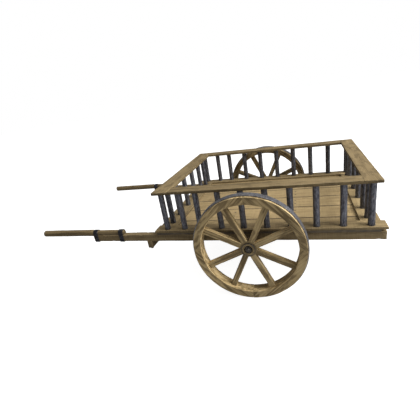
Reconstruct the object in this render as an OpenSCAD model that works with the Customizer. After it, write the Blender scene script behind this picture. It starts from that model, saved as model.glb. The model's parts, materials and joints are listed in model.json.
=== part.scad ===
// Two-wheeled wooden cart with stake sides, two pulling shafts and spoked wheels.
// Frame: +X towards the shafts' tips, +Y to the cart's left, +Z up.
// Origin on the ground, under the middle of the overall length and width.
// A station is a distance backwards from the side boards' front ends.
// An inset is a distance inwards from the side boards' outer faces.

/* [Deck] */
// Length of the side boards
deck_len = 1820; // [1500:10:2400]
// Width over the side boards
deck_w = 1440; // [1150:10:1800]
// Width of a side board
side_board_w = 120; // [100:1:150]
// Width of the front end board
front_board_w = 158; // [110:1:200]
// Width of the rear end board
rear_board_w = 120; // [110:1:160]
// Thickness of the side and end boards
board_t = 20; // [12:1:30]
// Thickness of a floor plank
plank_t = 18; // [14:1:30]
// Gap between neighbouring floor planks
plank_gap = 3; // [1:0.5:6]
// How far the side boards reach past the floor at the front
front_overhang = 17; // [5:1:40]
// How far the side boards reach past the floor at the tail
rear_overhang = 46; // [42:1:70]

/* [Posts and rails] */
// Diameter of a post
post_d = 50; // [26:1:52]
// Diameter of a post's lower shank and upper tenon
shank_d = 18; // [12:1:22]
// Depth of a post's shank in the timber under the floor
shank_bite = 20; // [12:1:24]
// Depth of a post's tenon in the rail
tenon_bite = 16; // [14:1:20]
// Clear height from the side boards up to the rails
rail_gap = 326; // [200:2:600]
// Thickness of a rail
rail_t = 24; // [22:1:36]
// Width of a side rail
side_rail_w = 127; // [110:1:150]
// Width of the front rail
front_rail_w = 144; // [120:1:170]
// Width of the rear rail
rear_rail_w = 120; // [110:1:160]
// Inset of the side rails
rail_inset = 4; // [0:1:10]
// Station of the front rail's outer edge
rail_front = 42; // [30:1:46]
// Inset of the side post rows
row_inset = 45; // [38:1:50]
// Station of the front post row
front_row = 110; // [90:1:125]
// Distance from the side boards' rear ends to the rear post row
rear_row = 104; // [96:1:115]
// First post spacing on a side, from the front corner
side_bay_1 = 162; // [100:1:200]
// Second post spacing on a side
side_bay_2 = 142; // [100:1:200]
// First post spacing on an end, from a corner
end_bay_1 = 130; // [100:1:160]
// Second post spacing on an end
end_bay_2 = 188; // [120:1:220]

/* [Underframe] */
// Width of a sill
sill_w = 52; // [48:1:64]
// Height of a sill
sill_h = 66; // [60:1:90]
// Inset of the sills
sill_inset = 10; // [0:1:14]
// How far the sills reach forward of the side boards
sill_reach = 664; // [500:2:800]
// Width of the beam under the front of the sills
front_beam_w = 46; // [36:1:70]
// Station of the middle of the front beam
front_beam_at = -84; // [-200:2:-60]
// Depth of the front beam and of the axle bed
beam_depth = 70; // [60:1:100]
// Thickness of the tail beam behind the sills
tail_beam_t = 40; // [32:1:50]
// Width of a floor joist
joist_w = 50; // [40:1:64]
// Depth of a floor joist
joist_h = 50; // [46:1:56]

/* [Shafts] */
// Diameter of a shaft pole
pole_d = 52; // [42:1:52]
// Reach of the poles forward of the side boards
pole_reach = 1250; // [900:5:1600]
// Station of the poles' rear ends
pole_rear = -330; // [-440:2:-280]
// Depth of the poles in the grooves on the sills
pole_sink = 12; // [6:1:16]
// Diameter of a pole's grip, in front of the sill
grip_d = 62; // [38:1:64]
// Rounding of a pole's ends
pole_round = 9; // [4:1:16]
// Width of an iron band
band_w = 44; // [30:1:50]
// Thickness of an iron band
band_t = 5; // [3:0.5:8]
// Distance from a band to the nearer end of the pole's seat
band_margin = 9; // [4:1:30]

/* [Wheels] */
// Diameter over the iron tyre
tyre_d = 900; // [750:10:1100]
// Thickness of the iron tyre
tyre_t = 10; // [6:1:14]
// Width of the iron tyre
tyre_w = 60; // [40:1:90]
// Radial depth of the felloes
felloe_depth = 60; // [50:1:80]
// Width of the felloes along the axle
felloe_w = 100; // [70:1:116]
// Width of a square spoke
spoke_w = 46; // [30:1:48]
// Angle between the two spokes of a felloe, in degrees
spoke_pair = 40; // [38:0.5:45]
// Smallest diameter of the nave at the spokes
nave_d = 136; // [116:1:146]
// Diameter of the nave at its ends
nave_end_d = 100; // [90:1:108]
// Length of the nave inwards from the middle of the rim
nave_in = 85; // [60:1:90]
// Length of the nave outwards from the middle of the rim
nave_out = 35; // [33:1:38]
// Distance from the side boards' outer faces to the middle of the rim
track_offset = 94; // [90:1:160]

/* [Axle] */
// Station of the axle
axle_at = 835; // [760:5:1000]
// Width and height of the square axle bar
bar_w = 36; // [30:1:44]
// Depth of the bar's notch in the underside of the sills
bar_notch = 11; // [4:1:20]
// Width of the wooden axle bed
bed_w = 100; // [96:1:130]
// Diameter of the round axle arms
arm_d = 34; // [28:1:36]
// Diameter of the threaded axle ends
stub_d = 26; // [20:1:26]
// Wall of the iron bush in the nave
bush_wall = 6; // [4:0.5:6]

/* [Clearances] */
// Radial running clearance of the bush on the axle arm
run_clear = 0.05; // [0.02:0.01:0.1]
// End play of the wheel on the axle
end_play = 1; // [0.5:0.1:2]
// Clearance around fixed joints and fasteners
fix_clear = 0.2; // [0.1:0.05:0.4]
// Gap between the ends of butted boards and felloes
butt_gap = 0.5; // [0.3:0.1:1.5]

/* [Hidden] */
$fn = 64;

// Colours
WOOD = "#a08a62";
WOOD_DARK = "#7d6a48";
IRON = "#4a4b50";
TYRE_IRON = "#77777c";

// Counts that the node list depends on
PLANKS = 6;
JOISTS = 4;
SIDE_BAYS = 9;
FELLOES = 4;

// Small hardware
NAIL_D = 4.4;
NAIL_HEAD_D = 9;
NAIL_HEAD_T = 2;
FLOOR_NAIL_INSET = 18;
FLOOR_NAIL_BITE = 22;
RAIL_NAIL_LEN = 20;
SCREW_D = 12;
SCREW_HEAD_W = 19;
SCREW_HEAD_T = 9;
SCREW_END_GAP = 4;
PLATE_T = 4;
PLATE_W = 40;
WASHER_D = 30;
PEG_D = 10;
GRIP_GAP = 2;
TENON_W = 20;
TENON_H = 22;
TENON_LEN = 24;
TENON_ROOF = 4;
TAIL_TENON_H = 34;
TAIL_TENON_LEN = 28;
DOWEL_D = 14;
DOWEL_LEN = 60;
SPOKE_TENON_W = 24;
SPOKE_TENON_LEN = 24;
SPOKE_SEAT = 4;
SPOKE_GAP = 0.4;
SPOKE_END = 10;
COLLAR_D = 60;
INNER_WASHER_T = 5;
OUTER_WASHER_T = 4;
OUTER_WASHER_D = 58;
RECESS_D = 68;
RECESS_DEPTH = 20;
AXLE_NUT_AF = 46;
AXLE_NUT_T = 15;
STUB_PAST_NUT = 13;
PIN_D = 5;
PIN_LEN = 42;
NAVE_BAND_W = 12;
NAVE_BAND_T = 4;
CUT = 1;

// Heights, from the ground up
axle_z = tyre_d / 2;
sill_z = axle_z + bar_w / 2 - bar_notch;
floor_z = sill_z + sill_h;
board_z = floor_z + plank_t;
deck_z = board_z + board_t;
rail_z = deck_z + rail_gap;
rail_top = rail_z + rail_t;
lap_z = rail_z + rail_t / 2;
beam_z = sill_z - beam_depth;
joist_z = floor_z - joist_h;
tenon_z = floor_z - shank_bite - TENON_ROOF - TENON_H;
pole_z = floor_z + pole_d / 2 - pole_sink;

// Lengthwise places
x_front = (deck_len - pole_reach) / 2;
floor_end = deck_len - rear_overhang;
rail_end = floor_end;
tail_row = deck_len - rear_row;
side_pitch = (tail_row - front_row - side_bay_1 - side_bay_2) / (SIDE_BAYS - 2);
side_stations = concat(
    [front_row, front_row + side_bay_1],
    [for (i = [0 : SIDE_BAYS - 2]) tail_row - (SIDE_BAYS - 2 - i) * side_pitch]
);
joist_stations = [
    for (i = [0 : JOISTS - 1]) front_row + i * (tail_row - front_row) / (JOISTS - 1)
];
screw_reach = (bed_w / 2 + bar_w / 2) / 2;
front_band_at = -sill_reach + band_margin + band_w / 2;
rear_band_at = pole_rear - band_margin - band_w / 2;

// Crosswise places
y_edge = deck_w / 2;
sill_out = y_edge - sill_inset;
sill_in = sill_out - sill_w;
sill_mid = (sill_out + sill_in) / 2;
row_y = y_edge - row_inset;
rail_out = y_edge - rail_inset;
rail_in = rail_out - side_rail_w;
end_y2 = row_y - end_bay_1;
end_y3 = end_y2 - end_bay_2;
end_row_y = [end_y2, end_y3, end_y3 / 3, -end_y3 / 3, -end_y3, -end_y2];
plank_pitch = deck_w / PLANKS;
floor_nail_y = sill_in - FLOOR_NAIL_INSET - y_edge + plank_pitch / 2;

// Wheel and axle
hub_y = y_edge + track_offset;
felloe_out = tyre_d / 2 - tyre_t;
felloe_in = felloe_out - felloe_depth;
spoke_foot = max(nave_d / 2 - SPOKE_SEAT, spoke_w / 2 / tan(spoke_pair / 2) + SPOKE_GAP);
nave_r = spoke_foot + SPOKE_SEAT;
spoke_tip = sqrt(felloe_in * felloe_in - spoke_w * spoke_w / 4) - fix_clear;
arm_shoulder = nave_out - RECESS_DEPTH + end_play;
collar_y = hub_y - nave_in - end_play - INNER_WASHER_T;
stub_end = arm_shoulder + OUTER_WASHER_T + AXLE_NUT_T + STUB_PAST_NUT;
pin_at = stub_end - STUB_PAST_NUT / 2;
bush_r = arm_d / 2 + run_clear;
bush_out_r = bush_r + bush_wall;

function at_x(station) = x_front - station;

// Box from one corner to the opposite corner
module block(lo, hi) {
    translate(lo) cube(hi - lo);
}

// Box between two stations, two Y values and two heights
module beam(s0, s1, y0, y1, z0, z1) {
    block([at_x(s1), y0, z0], [at_x(s0), y1, z1]);
}

module mirrored() {
    mirror([0, 1, 0]) children();
}

module both_sides() {
    children();
    mirrored() children();
}

// Cylinder along +Y that starts at the origin
module rod_y(r, len) {
    rotate([-90, 0, 0]) cylinder(r = r, h = len);
}

module hexagon(across_flats, h) {
    cylinder(d = across_flats / cos(30), h = h, $fn = 6);
}

// ---- Shafts ----

// Outline of a rod of radius r between two heights, with its ends rounded
module rounded_rod(r, h0, h1) {
    translate([0, h0 + pole_round]) square([r, h1 - h0 - 2 * pole_round]);
    translate([0, h0]) square([r - pole_round, h1 - h0]);
    intersection() {
        translate([0, h0]) square([r, h1 - h0]);
        for (h = [h0 + pole_round, h1 - pole_round]) {
            translate([r - pole_round, h]) circle(r = pole_round);
        }
    }
}

// Pole along +X from its rear end: its thicker length lies on the sill, its grip in front
module pole_shape(grow) {
    tip = pole_reach + pole_rear;
    seat_end = sill_reach + GRIP_GAP + pole_rear;
    rotate([0, 90, 0]) rotate_extrude() {
        difference() {
            rounded_rod(pole_d / 2 + grow, -grow, tip);
            translate([0, seat_end + grow]) square([pole_d, tip]);
        }
        difference() {
            rounded_rod(grip_d / 2 + grow, 0, tip + grow);
            translate([0, -CUT]) square([pole_d, seat_end]);
        }
    }
}

module shaft_pole() {
    color(WOOD) translate([at_x(pole_rear), sill_mid, pole_z]) pole_shape(0);
}

// Outline of the pole and the sill together, enlarged by grow on every side
module seat_outline(grow) {
    translate([sill_mid, pole_z]) circle(d = pole_d + 2 * grow);
    translate([sill_in - grow, sill_z - grow]) square([sill_w + 2 * grow, sill_h + 2 * grow]);
    translate([sill_mid - pole_d / 2 - grow, floor_z]) square([pole_d + 2 * grow, pole_z - floor_z]);
}

// Closed iron loop around the pole and the sill, with its middle at a station
module shaft_band(station) {
    color(IRON) translate([at_x(station) - band_w / 2, 0, 0])
        rotate([90, 0, 90]) linear_extrude(band_w) difference() {
            seat_outline(fix_clear + band_t);
            seat_outline(fix_clear);
        }
}

// ---- Underframe ----

// Places of the two axle screws and the front beam screw on one side
module at_coach_screws() {
    for (s = [axle_at - screw_reach, axle_at + screw_reach, front_beam_at]) {
        translate([at_x(s), sill_mid, 0]) children();
    }
}

// Shank of a coach screw, from its head up into the sill, ending below the posts
module screw_shank(grow) {
    translate([0, 0, beam_z - PLATE_T - grow]) {
        cylinder(d = SCREW_D + 2 * grow,
                 h = floor_z - shank_bite - SCREW_END_GAP - beam_z + PLATE_T + 2 * grow);
    }
}

module bar_shape(grow, len) {
    w = bar_w + 2 * grow;
    translate([at_x(axle_at) - w / 2, -len, axle_z - w / 2]) cube([w, 2 * len, w]);
}

// Tongue at the left end of a joist
module joist_tenon(station, grow) {
    w = TENON_W / 2 + grow;
    beam(station - w, station + w, sill_in - CUT, sill_in + TENON_LEN + grow,
         tenon_z - grow, tenon_z + TENON_H + grow);
}

// Tongue at the tail end of the left sill
module tail_tenon(grow) {
    z_mid = sill_z + sill_h / 2;
    h = TAIL_TENON_H / 2 + grow;
    w = TENON_W / 2 + grow;
    beam(floor_end - CUT, floor_end + TAIL_TENON_LEN + grow, sill_mid - w, sill_mid + w,
         z_mid - h, z_mid + h);
}

module peg_shape(grow) {
    translate([at_x(floor_end + TAIL_TENON_LEN / 2), sill_mid, sill_z]) {
        cylinder(d = PEG_D + 2 * grow, h = sill_h);
    }
}

module sill() {
    color(WOOD) difference() {
        union() {
            beam(-sill_reach, floor_end, sill_in, sill_out, sill_z, floor_z);
            tail_tenon(0);
        }
        translate([at_x(pole_rear) - fix_clear, sill_mid, pole_z]) pole_shape(fix_clear);
        bar_shape(fix_clear, y_edge);
        at_coach_screws() screw_shank(fix_clear);
        for (s = joist_stations) joist_tenon(s, fix_clear);
        at_side_posts() shank_hole();
        peg_shape(fix_clear);
    }
}

module front_cross_beam() {
    color(WOOD) difference() {
        beam(front_beam_at - front_beam_w / 2, front_beam_at + front_beam_w / 2,
             -sill_out, sill_out, beam_z, sill_z);
        both_sides() at_coach_screws() screw_shank(fix_clear);
    }
}

module tail_beam() {
    color(WOOD) difference() {
        beam(floor_end, floor_end + tail_beam_t, -sill_out, sill_out, sill_z, floor_z);
        both_sides() tail_tenon(fix_clear);
        both_sides() translate([0, 0, -CUT]) peg_shape(fix_clear);
        both_sides() translate([0, 0, CUT]) peg_shape(fix_clear);
    }
}

module tail_pegs() {
    color(WOOD_DARK) both_sides() peg_shape(0);
}

module joist(i) {
    s = joist_stations[i - 1];
    color(WOOD_DARK) difference() {
        union() {
            beam(s - joist_w / 2, s + joist_w / 2, -sill_in, sill_in, joist_z, floor_z);
            both_sides() joist_tenon(s, 0);
        }
        if (i == 1) at_end_posts(front_row) shank_hole();
        if (i == JOISTS) at_end_posts(tail_row) shank_hole();
        at_floor_nails() nail_hole(board_z, plank_t + FLOOR_NAIL_BITE);
    }
}

module axle_bed() {
    color(WOOD) difference() {
        beam(axle_at - bed_w / 2, axle_at + bed_w / 2, -sill_out, sill_out, beam_z, sill_z);
        bar_shape(fix_clear, y_edge);
        both_sides() at_coach_screws() screw_shank(fix_clear);
    }
}

module axle_plates() {
    color(IRON) both_sides() difference() {
        beam(axle_at - bed_w / 2, axle_at + bed_w / 2,
             sill_mid - PLATE_W / 2, sill_mid + PLATE_W / 2, beam_z - PLATE_T, beam_z);
        at_coach_screws() screw_shank(fix_clear);
    }
}

module beam_washers() {
    color(IRON) both_sides() difference() {
        translate([at_x(front_beam_at), sill_mid, beam_z - PLATE_T]) {
            cylinder(d = WASHER_D, h = PLATE_T);
        }
        at_coach_screws() screw_shank(fix_clear);
    }
}

module coach_screws() {
    w = SCREW_HEAD_W / 2;
    z0 = beam_z - PLATE_T - SCREW_HEAD_T;
    color(IRON) both_sides() at_coach_screws() {
        screw_shank(0);
        block([-w, -w, z0], [w, w, z0 + SCREW_HEAD_T]);
    }
}

// ---- Deck ----

module at_side_posts() {
    for (s = side_stations) translate([at_x(s), row_y, 0]) children();
}

module at_end_posts(station) {
    for (y = end_row_y) translate([at_x(station), y, 0]) children();
}

module at_all_posts() {
    both_sides() at_side_posts() children();
    for (s = [front_row, tail_row]) at_end_posts(s) children();
}

module post_shape() {
    translate([0, 0, deck_z]) cylinder(d = post_d, h = rail_gap);
    translate([0, 0, floor_z - shank_bite]) {
        cylinder(d = shank_d, h = rail_z + tenon_bite - floor_z + shank_bite);
    }
}

// Hole for a post's shank, from the timber under the floor to above the boards
module shank_hole() {
    translate([0, 0, floor_z - shank_bite - fix_clear]) {
        cylinder(d = shank_d + 2 * fix_clear, h = deck_z - floor_z + shank_bite + CUT);
    }
}

// Hole for a post's tenon, from below the rail
module tenon_hole() {
    translate([0, 0, rail_z - CUT]) {
        cylinder(d = shank_d + 2 * fix_clear, h = tenon_bite + fix_clear + CUT);
    }
}

// Nail with its head flush with a height, driven down by a length
module nail_shape(top, len) {
    translate([0, 0, top - len]) cylinder(d = NAIL_D, h = len);
    translate([0, 0, top - NAIL_HEAD_T]) cylinder(d = NAIL_HEAD_D, h = NAIL_HEAD_T);
}

// The nail's hole, with its head's sinking open upwards
module nail_hole(top, len) {
    translate([0, 0, top - len - fix_clear]) cylinder(d = NAIL_D + 2 * fix_clear, h = len);
    translate([0, 0, top - NAIL_HEAD_T - fix_clear]) {
        cylinder(d = NAIL_HEAD_D + 2 * fix_clear, h = NAIL_HEAD_T + fix_clear + CUT);
    }
}

module at_floor_nails() {
    for (j = [1 : JOISTS - 2], i = [0 : PLANKS - 1], side = [-1, 1]) {
        y = (i + 0.5) * plank_pitch - y_edge + side * floor_nail_y;
        translate([at_x(joist_stations[j]), y, 0]) children();
    }
}

// Floor planks are numbered from the left
module floor_plank(i) {
    y1 = y_edge - (i - 1) * plank_pitch;
    trim_out = i == 1 ? 0 : plank_gap / 2;
    trim_in = i == PLANKS ? 0 : plank_gap / 2;
    color(WOOD) difference() {
        beam(front_overhang, floor_end, y1 - plank_pitch + trim_in, y1 - trim_out,
             floor_z, board_z);
        at_all_posts() shank_hole();
        at_floor_nails() nail_hole(board_z, plank_t + FLOOR_NAIL_BITE);
    }
}

module floor_nails() {
    color(IRON) at_floor_nails() nail_shape(board_z, plank_t + FLOOR_NAIL_BITE);
}

module side_board() {
    color(WOOD) difference() {
        beam(0, deck_len, y_edge - side_board_w, y_edge, board_z, deck_z);
        at_side_posts() shank_hole();
    }
}

module end_board(s0, s1, row) {
    y = y_edge - side_board_w - butt_gap;
    color(WOOD) difference() {
        beam(s0, s1, -y, y, board_z, deck_z);
        at_end_posts(row) shank_hole();
    }
}

module end_board_front() {
    end_board(front_overhang, front_overhang + front_board_w, front_row);
}

module end_board_rear() {
    end_board(floor_end - rear_board_w, floor_end, tail_row);
}

// ---- Stake sides ----

module side_posts() {
    color(IRON) at_side_posts() post_shape();
}

module end_posts(station) {
    color(IRON) at_end_posts(station) post_shape();
}

module at_rail_nails() {
    y = rail_in + NAIL_HEAD_D * 2;
    for (s = [
        rail_front + front_rail_w / 4, rail_front + front_rail_w * 3 / 4,
        rail_end - rear_rail_w / 4, rail_end - rear_rail_w * 3 / 4
    ]) {
        translate([at_x(s), y, 0]) children();
    }
}

// Side rail, halved from above where the end rails cross it
module side_rail() {
    color(WOOD) difference() {
        beam(rail_front, rail_end, rail_in, rail_out, rail_z, rail_top);
        beam(rail_front - CUT, rail_front + front_rail_w + fix_clear,
             rail_in - CUT, rail_out + CUT, lap_z, rail_top + CUT);
        beam(rail_end - rear_rail_w - fix_clear, rail_end + CUT,
             rail_in - CUT, rail_out + CUT, lap_z, rail_top + CUT);
        at_side_posts() tenon_hole();
        at_rail_nails() nail_hole(rail_top, RAIL_NAIL_LEN);
    }
}

// End rail, halved from below where it crosses the side rails
module end_rail(s0, s1, row) {
    color(WOOD) difference() {
        beam(s0, s1, -rail_out, rail_out, rail_z, rail_top);
        both_sides() beam(s0 - CUT, s1 + CUT, rail_in - fix_clear, rail_out + CUT,
                          rail_z - CUT, lap_z);
        at_end_posts(row) tenon_hole();
        both_sides() at_side_posts() tenon_hole();
        both_sides() at_rail_nails() nail_hole(rail_top, RAIL_NAIL_LEN);
    }
}

module rail_front_end() {
    end_rail(rail_front, rail_front + front_rail_w, front_row);
}

module rail_rear_end() {
    end_rail(rail_end - rear_rail_w, rail_end, tail_row);
}

module rail_nails() {
    color(IRON) both_sides() at_rail_nails() nail_shape(rail_top, RAIL_NAIL_LEN);
}

// ---- Axle ----

// The left hub's centre, with +Y outwards
module at_hub() {
    translate([at_x(axle_at), hub_y, axle_z]) children();
}

module axle_end() {
    at_hub() difference() {
        union() {
            translate([0, collar_y - hub_y - INNER_WASHER_T - CUT, 0]) {
                rod_y(COLLAR_D / 2, INNER_WASHER_T + CUT);
            }
            translate([0, collar_y - hub_y - CUT, 0]) {
                rod_y(arm_d / 2, arm_shoulder - collar_y + hub_y + CUT);
            }
            rod_y(stub_d / 2, stub_end);
        }
        translate([0, pin_at, -arm_d]) cylinder(d = PIN_D + 2 * fix_clear, h = 2 * arm_d);
    }
}

module axle() {
    color(IRON) union() {
        bar_shape(0, collar_y - INNER_WASHER_T);
        both_sides() axle_end();
    }
}

module ring_y(r_out, r_in, y0, y1) {
    translate([0, y0, 0]) difference() {
        rod_y(r_out, y1 - y0);
        translate([0, -CUT, 0]) rod_y(r_in, y1 - y0 + 2 * CUT);
    }
}

module inner_washers() {
    y0 = collar_y - hub_y;
    color(IRON) both_sides() at_hub() {
        ring_y(COLLAR_D / 2, arm_d / 2 + fix_clear, y0, y0 + INNER_WASHER_T);
    }
}

module outer_washers() {
    color(IRON) both_sides() at_hub() {
        ring_y(OUTER_WASHER_D / 2, stub_d / 2 + fix_clear, arm_shoulder,
               arm_shoulder + OUTER_WASHER_T);
    }
}

module axle_nuts() {
    y0 = arm_shoulder + OUTER_WASHER_T;
    color(IRON) both_sides() at_hub() difference() {
        translate([0, y0, 0]) rotate([-90, 0, 0]) hexagon(AXLE_NUT_AF, AXLE_NUT_T);
        rod_y(stub_d / 2 + fix_clear, stub_end);
    }
}

module split_pins() {
    color(IRON) both_sides() at_hub() {
        translate([0, pin_at, -PIN_LEN / 2]) cylinder(d = PIN_D, h = PIN_LEN);
    }
}

// ---- Wheels, each built about its hub's centre with +Y outwards ----

module at_spokes() {
    for (k = [0 : FELLOES - 1], side = [-1, 1]) {
        rotate([0, (k + 0.5) * 360 / FELLOES + side * spoke_pair / 2, 0]) children();
    }
}

module at_felloe_joints() {
    for (k = [0 : FELLOES - 1]) rotate([0, k * 360 / FELLOES, 0]) children();
}

module spoke_tenon(grow) {
    w = SPOKE_TENON_W + 2 * grow;
    translate([spoke_foot - SPOKE_TENON_LEN - grow, -w / 2, -w / 2]) {
        cube([SPOKE_TENON_LEN + CUT, w, w]);
    }
}

module spoke_body(grow) {
    w = spoke_w + 2 * grow;
    translate([spoke_foot - grow, -w / 2, -w / 2]) cube([spoke_tip - spoke_foot + grow, w, w]);
}

// Round tongue that the spoke has in the felloe
module spoke_tongue(grow) {
    len = felloe_out - SPOKE_END - spoke_tip + CUT + grow;
    translate([spoke_tip - CUT, 0, 0]) rotate([0, 90, 0]) {
        cylinder(d = SPOKE_TENON_W + 2 * grow, h = len);
    }
}

module spokes() {
    color(WOOD) at_hub() at_spokes() {
        spoke_tenon(0);
        spoke_body(0);
        spoke_tongue(0);
    }
}

module dowel_shape(grow) {
    r = (felloe_in + felloe_out) / 2;
    translate([r, 0, -DOWEL_LEN / 2 - grow]) {
        cylinder(d = DOWEL_D + 2 * grow, h = DOWEL_LEN + 2 * grow);
    }
}

module felloes() {
    color(WOOD) at_hub() difference() {
        ring_y(felloe_out, felloe_in, -felloe_w / 2, felloe_w / 2);
        at_felloe_joints() {
            translate([felloe_in - felloe_depth, -felloe_w, -butt_gap / 2]) {
                cube([3 * felloe_depth, 2 * felloe_w, butt_gap]);
            }
            dowel_shape(fix_clear);
        }
        at_spokes() spoke_tongue(fix_clear);
    }
}

module felloe_dowels() {
    color(WOOD_DARK) at_hub() at_felloe_joints() dowel_shape(0);
}

module tyre() {
    color(TYRE_IRON) at_hub() {
        ring_y(tyre_d / 2, felloe_out + run_clear, -tyre_w / 2, tyre_w / 2);
    }
}

// Turned nave: straight under its end bands and at the spokes, coned between them
module nave() {
    r0 = nave_end_d / 2;
    r1 = nave_r;
    half = spoke_w / 2 + CUT;
    shoulder = nave_out - NAVE_BAND_W < half ? nave_out - NAVE_BAND_W : half;
    color(WOOD) at_hub() difference() {
        rotate([-90, 0, 0]) rotate_extrude() polygon([
            [0, -nave_in], [r0, -nave_in], [r0, NAVE_BAND_W - nave_in], [r1, -half],
            [r1, shoulder], [r0, shoulder], [r0, nave_out], [0, nave_out]
        ]);
        translate([0, -nave_in - CUT, 0]) rod_y(bush_out_r + fix_clear, nave_in + nave_out);
        translate([0, nave_out - RECESS_DEPTH, 0]) rod_y(RECESS_D / 2, RECESS_DEPTH + CUT);
        at_spokes() {
            spoke_tenon(fix_clear);
            spoke_body(fix_clear);
        }
    }
}

module nave_bands() {
    r = nave_end_d / 2 + run_clear;
    color(IRON) at_hub() {
        ring_y(r + NAVE_BAND_T, r, nave_out - NAVE_BAND_W + fix_clear, nave_out);
        ring_y(r + NAVE_BAND_T, r, -nave_in, NAVE_BAND_W - nave_in - fix_clear);
    }
}

module hub_bush() {
    color(IRON) at_hub() ring_y(bush_out_r, bush_r, -nave_in, nave_out - RECESS_DEPTH);
}

sill();  // sill_left
mirrored() sill();  // sill_right
shaft_pole();  // shaft_pole_left
mirrored() shaft_pole();  // shaft_pole_right
shaft_band(front_band_at);  // shaft_band_front_left
mirrored() shaft_band(front_band_at);  // shaft_band_front_right
shaft_band(rear_band_at);  // shaft_band_rear_left
mirrored() shaft_band(rear_band_at);  // shaft_band_rear_right
front_cross_beam();
tail_beam();
tail_pegs();
joist(1);  // joist_1
joist(2);  // joist_2
joist(3);  // joist_3
joist(4);  // joist_4
axle_bed();
axle();
axle_plates();
beam_washers();
coach_screws();
floor_plank(1);  // floor_plank_1
floor_plank(2);  // floor_plank_2
floor_plank(3);  // floor_plank_3
floor_plank(4);  // floor_plank_4
floor_plank(5);  // floor_plank_5
floor_plank(6);  // floor_plank_6
floor_nails();
side_board();  // side_board_left
mirrored() side_board();  // side_board_right
end_board_front();
end_board_rear();
side_posts();  // posts_left
mirrored() side_posts();  // posts_right
end_posts(front_row);  // posts_front
end_posts(tail_row);  // posts_rear
side_rail();  // rail_left
mirrored() side_rail();  // rail_right
rail_front_end();
rail_rear_end();
rail_nails();
inner_washers();
outer_washers();
axle_nuts();
split_pins();
tyre();  // tyre_left
felloes();  // felloes_left
felloe_dowels();  // felloe_dowels_left
spokes();  // spokes_left
nave();  // nave_left
nave_bands();  // nave_bands_left
hub_bush();  // hub_bush_left
mirrored() tyre();  // tyre_right
mirrored() felloes();  // felloes_right
mirrored() felloe_dowels();  // felloe_dowels_right
mirrored() spokes();  // spokes_right
mirrored() nave();  // nave_right
mirrored() nave_bands();  // nave_bands_right
mirrored() hub_bush();  // hub_bush_right
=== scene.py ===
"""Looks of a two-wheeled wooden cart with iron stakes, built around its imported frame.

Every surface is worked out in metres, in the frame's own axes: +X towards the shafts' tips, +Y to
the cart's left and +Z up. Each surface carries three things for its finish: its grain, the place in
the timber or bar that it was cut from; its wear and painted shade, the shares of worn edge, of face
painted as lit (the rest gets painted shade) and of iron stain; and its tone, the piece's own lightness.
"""

import json
import logging
import math
from dataclasses import dataclass, field
from enum import Enum
from functools import reduce
from typing import Callable, Sequence, Union

import bpy
import numpy as np
from mathutils import Matrix, Vector


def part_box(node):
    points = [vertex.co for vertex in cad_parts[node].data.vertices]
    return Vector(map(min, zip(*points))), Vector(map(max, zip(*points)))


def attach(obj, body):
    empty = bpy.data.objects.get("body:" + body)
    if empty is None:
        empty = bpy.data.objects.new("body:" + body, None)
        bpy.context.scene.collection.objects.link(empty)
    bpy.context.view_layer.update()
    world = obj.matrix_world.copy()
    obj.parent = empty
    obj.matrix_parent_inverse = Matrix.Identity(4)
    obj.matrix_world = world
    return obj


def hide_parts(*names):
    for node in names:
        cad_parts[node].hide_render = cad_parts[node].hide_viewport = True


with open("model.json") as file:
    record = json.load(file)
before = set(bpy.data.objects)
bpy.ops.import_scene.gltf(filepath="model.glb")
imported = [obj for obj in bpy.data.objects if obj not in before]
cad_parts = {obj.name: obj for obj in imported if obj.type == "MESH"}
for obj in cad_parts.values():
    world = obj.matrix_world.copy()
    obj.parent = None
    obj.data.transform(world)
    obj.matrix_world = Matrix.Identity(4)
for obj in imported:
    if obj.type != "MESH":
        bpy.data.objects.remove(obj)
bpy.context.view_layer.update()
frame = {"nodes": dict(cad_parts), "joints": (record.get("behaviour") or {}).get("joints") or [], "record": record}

LOG = logging.getLogger("cart")
SEED = 1872
FULL_TURN = 2 * math.pi
MM = 0.001
CREASE_DEG = 40  # neighbouring faces that turn by more than this keep a sharp edge
IRON_STOCK = np.zeros(3)  # iron isn't sawn from a log, so its pattern starts at the piece's middle

Number = Union[int, float]
Colour = tuple[float, float, float]
Socket = bpy.types.NodeSocket
Value = Union[Number, Sequence[Number], Socket]


# ---- Surfaces ----


class Axis(Enum):
    """The frame's axis that a straight piece lies along."""

    X = 0
    Y = 1
    Z = 2

    def turned(self, local: np.ndarray) -> np.ndarray:
        """Turns (along, across, through) into frame coordinates, keeping the hand of the axes.

        Args:
            local: Coordinates in the piece's own order, last axis of three.

        Returns:
            The same coordinates in the frame's order.
        """
        return np.roll(local, self.value, axis=-1)


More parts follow.
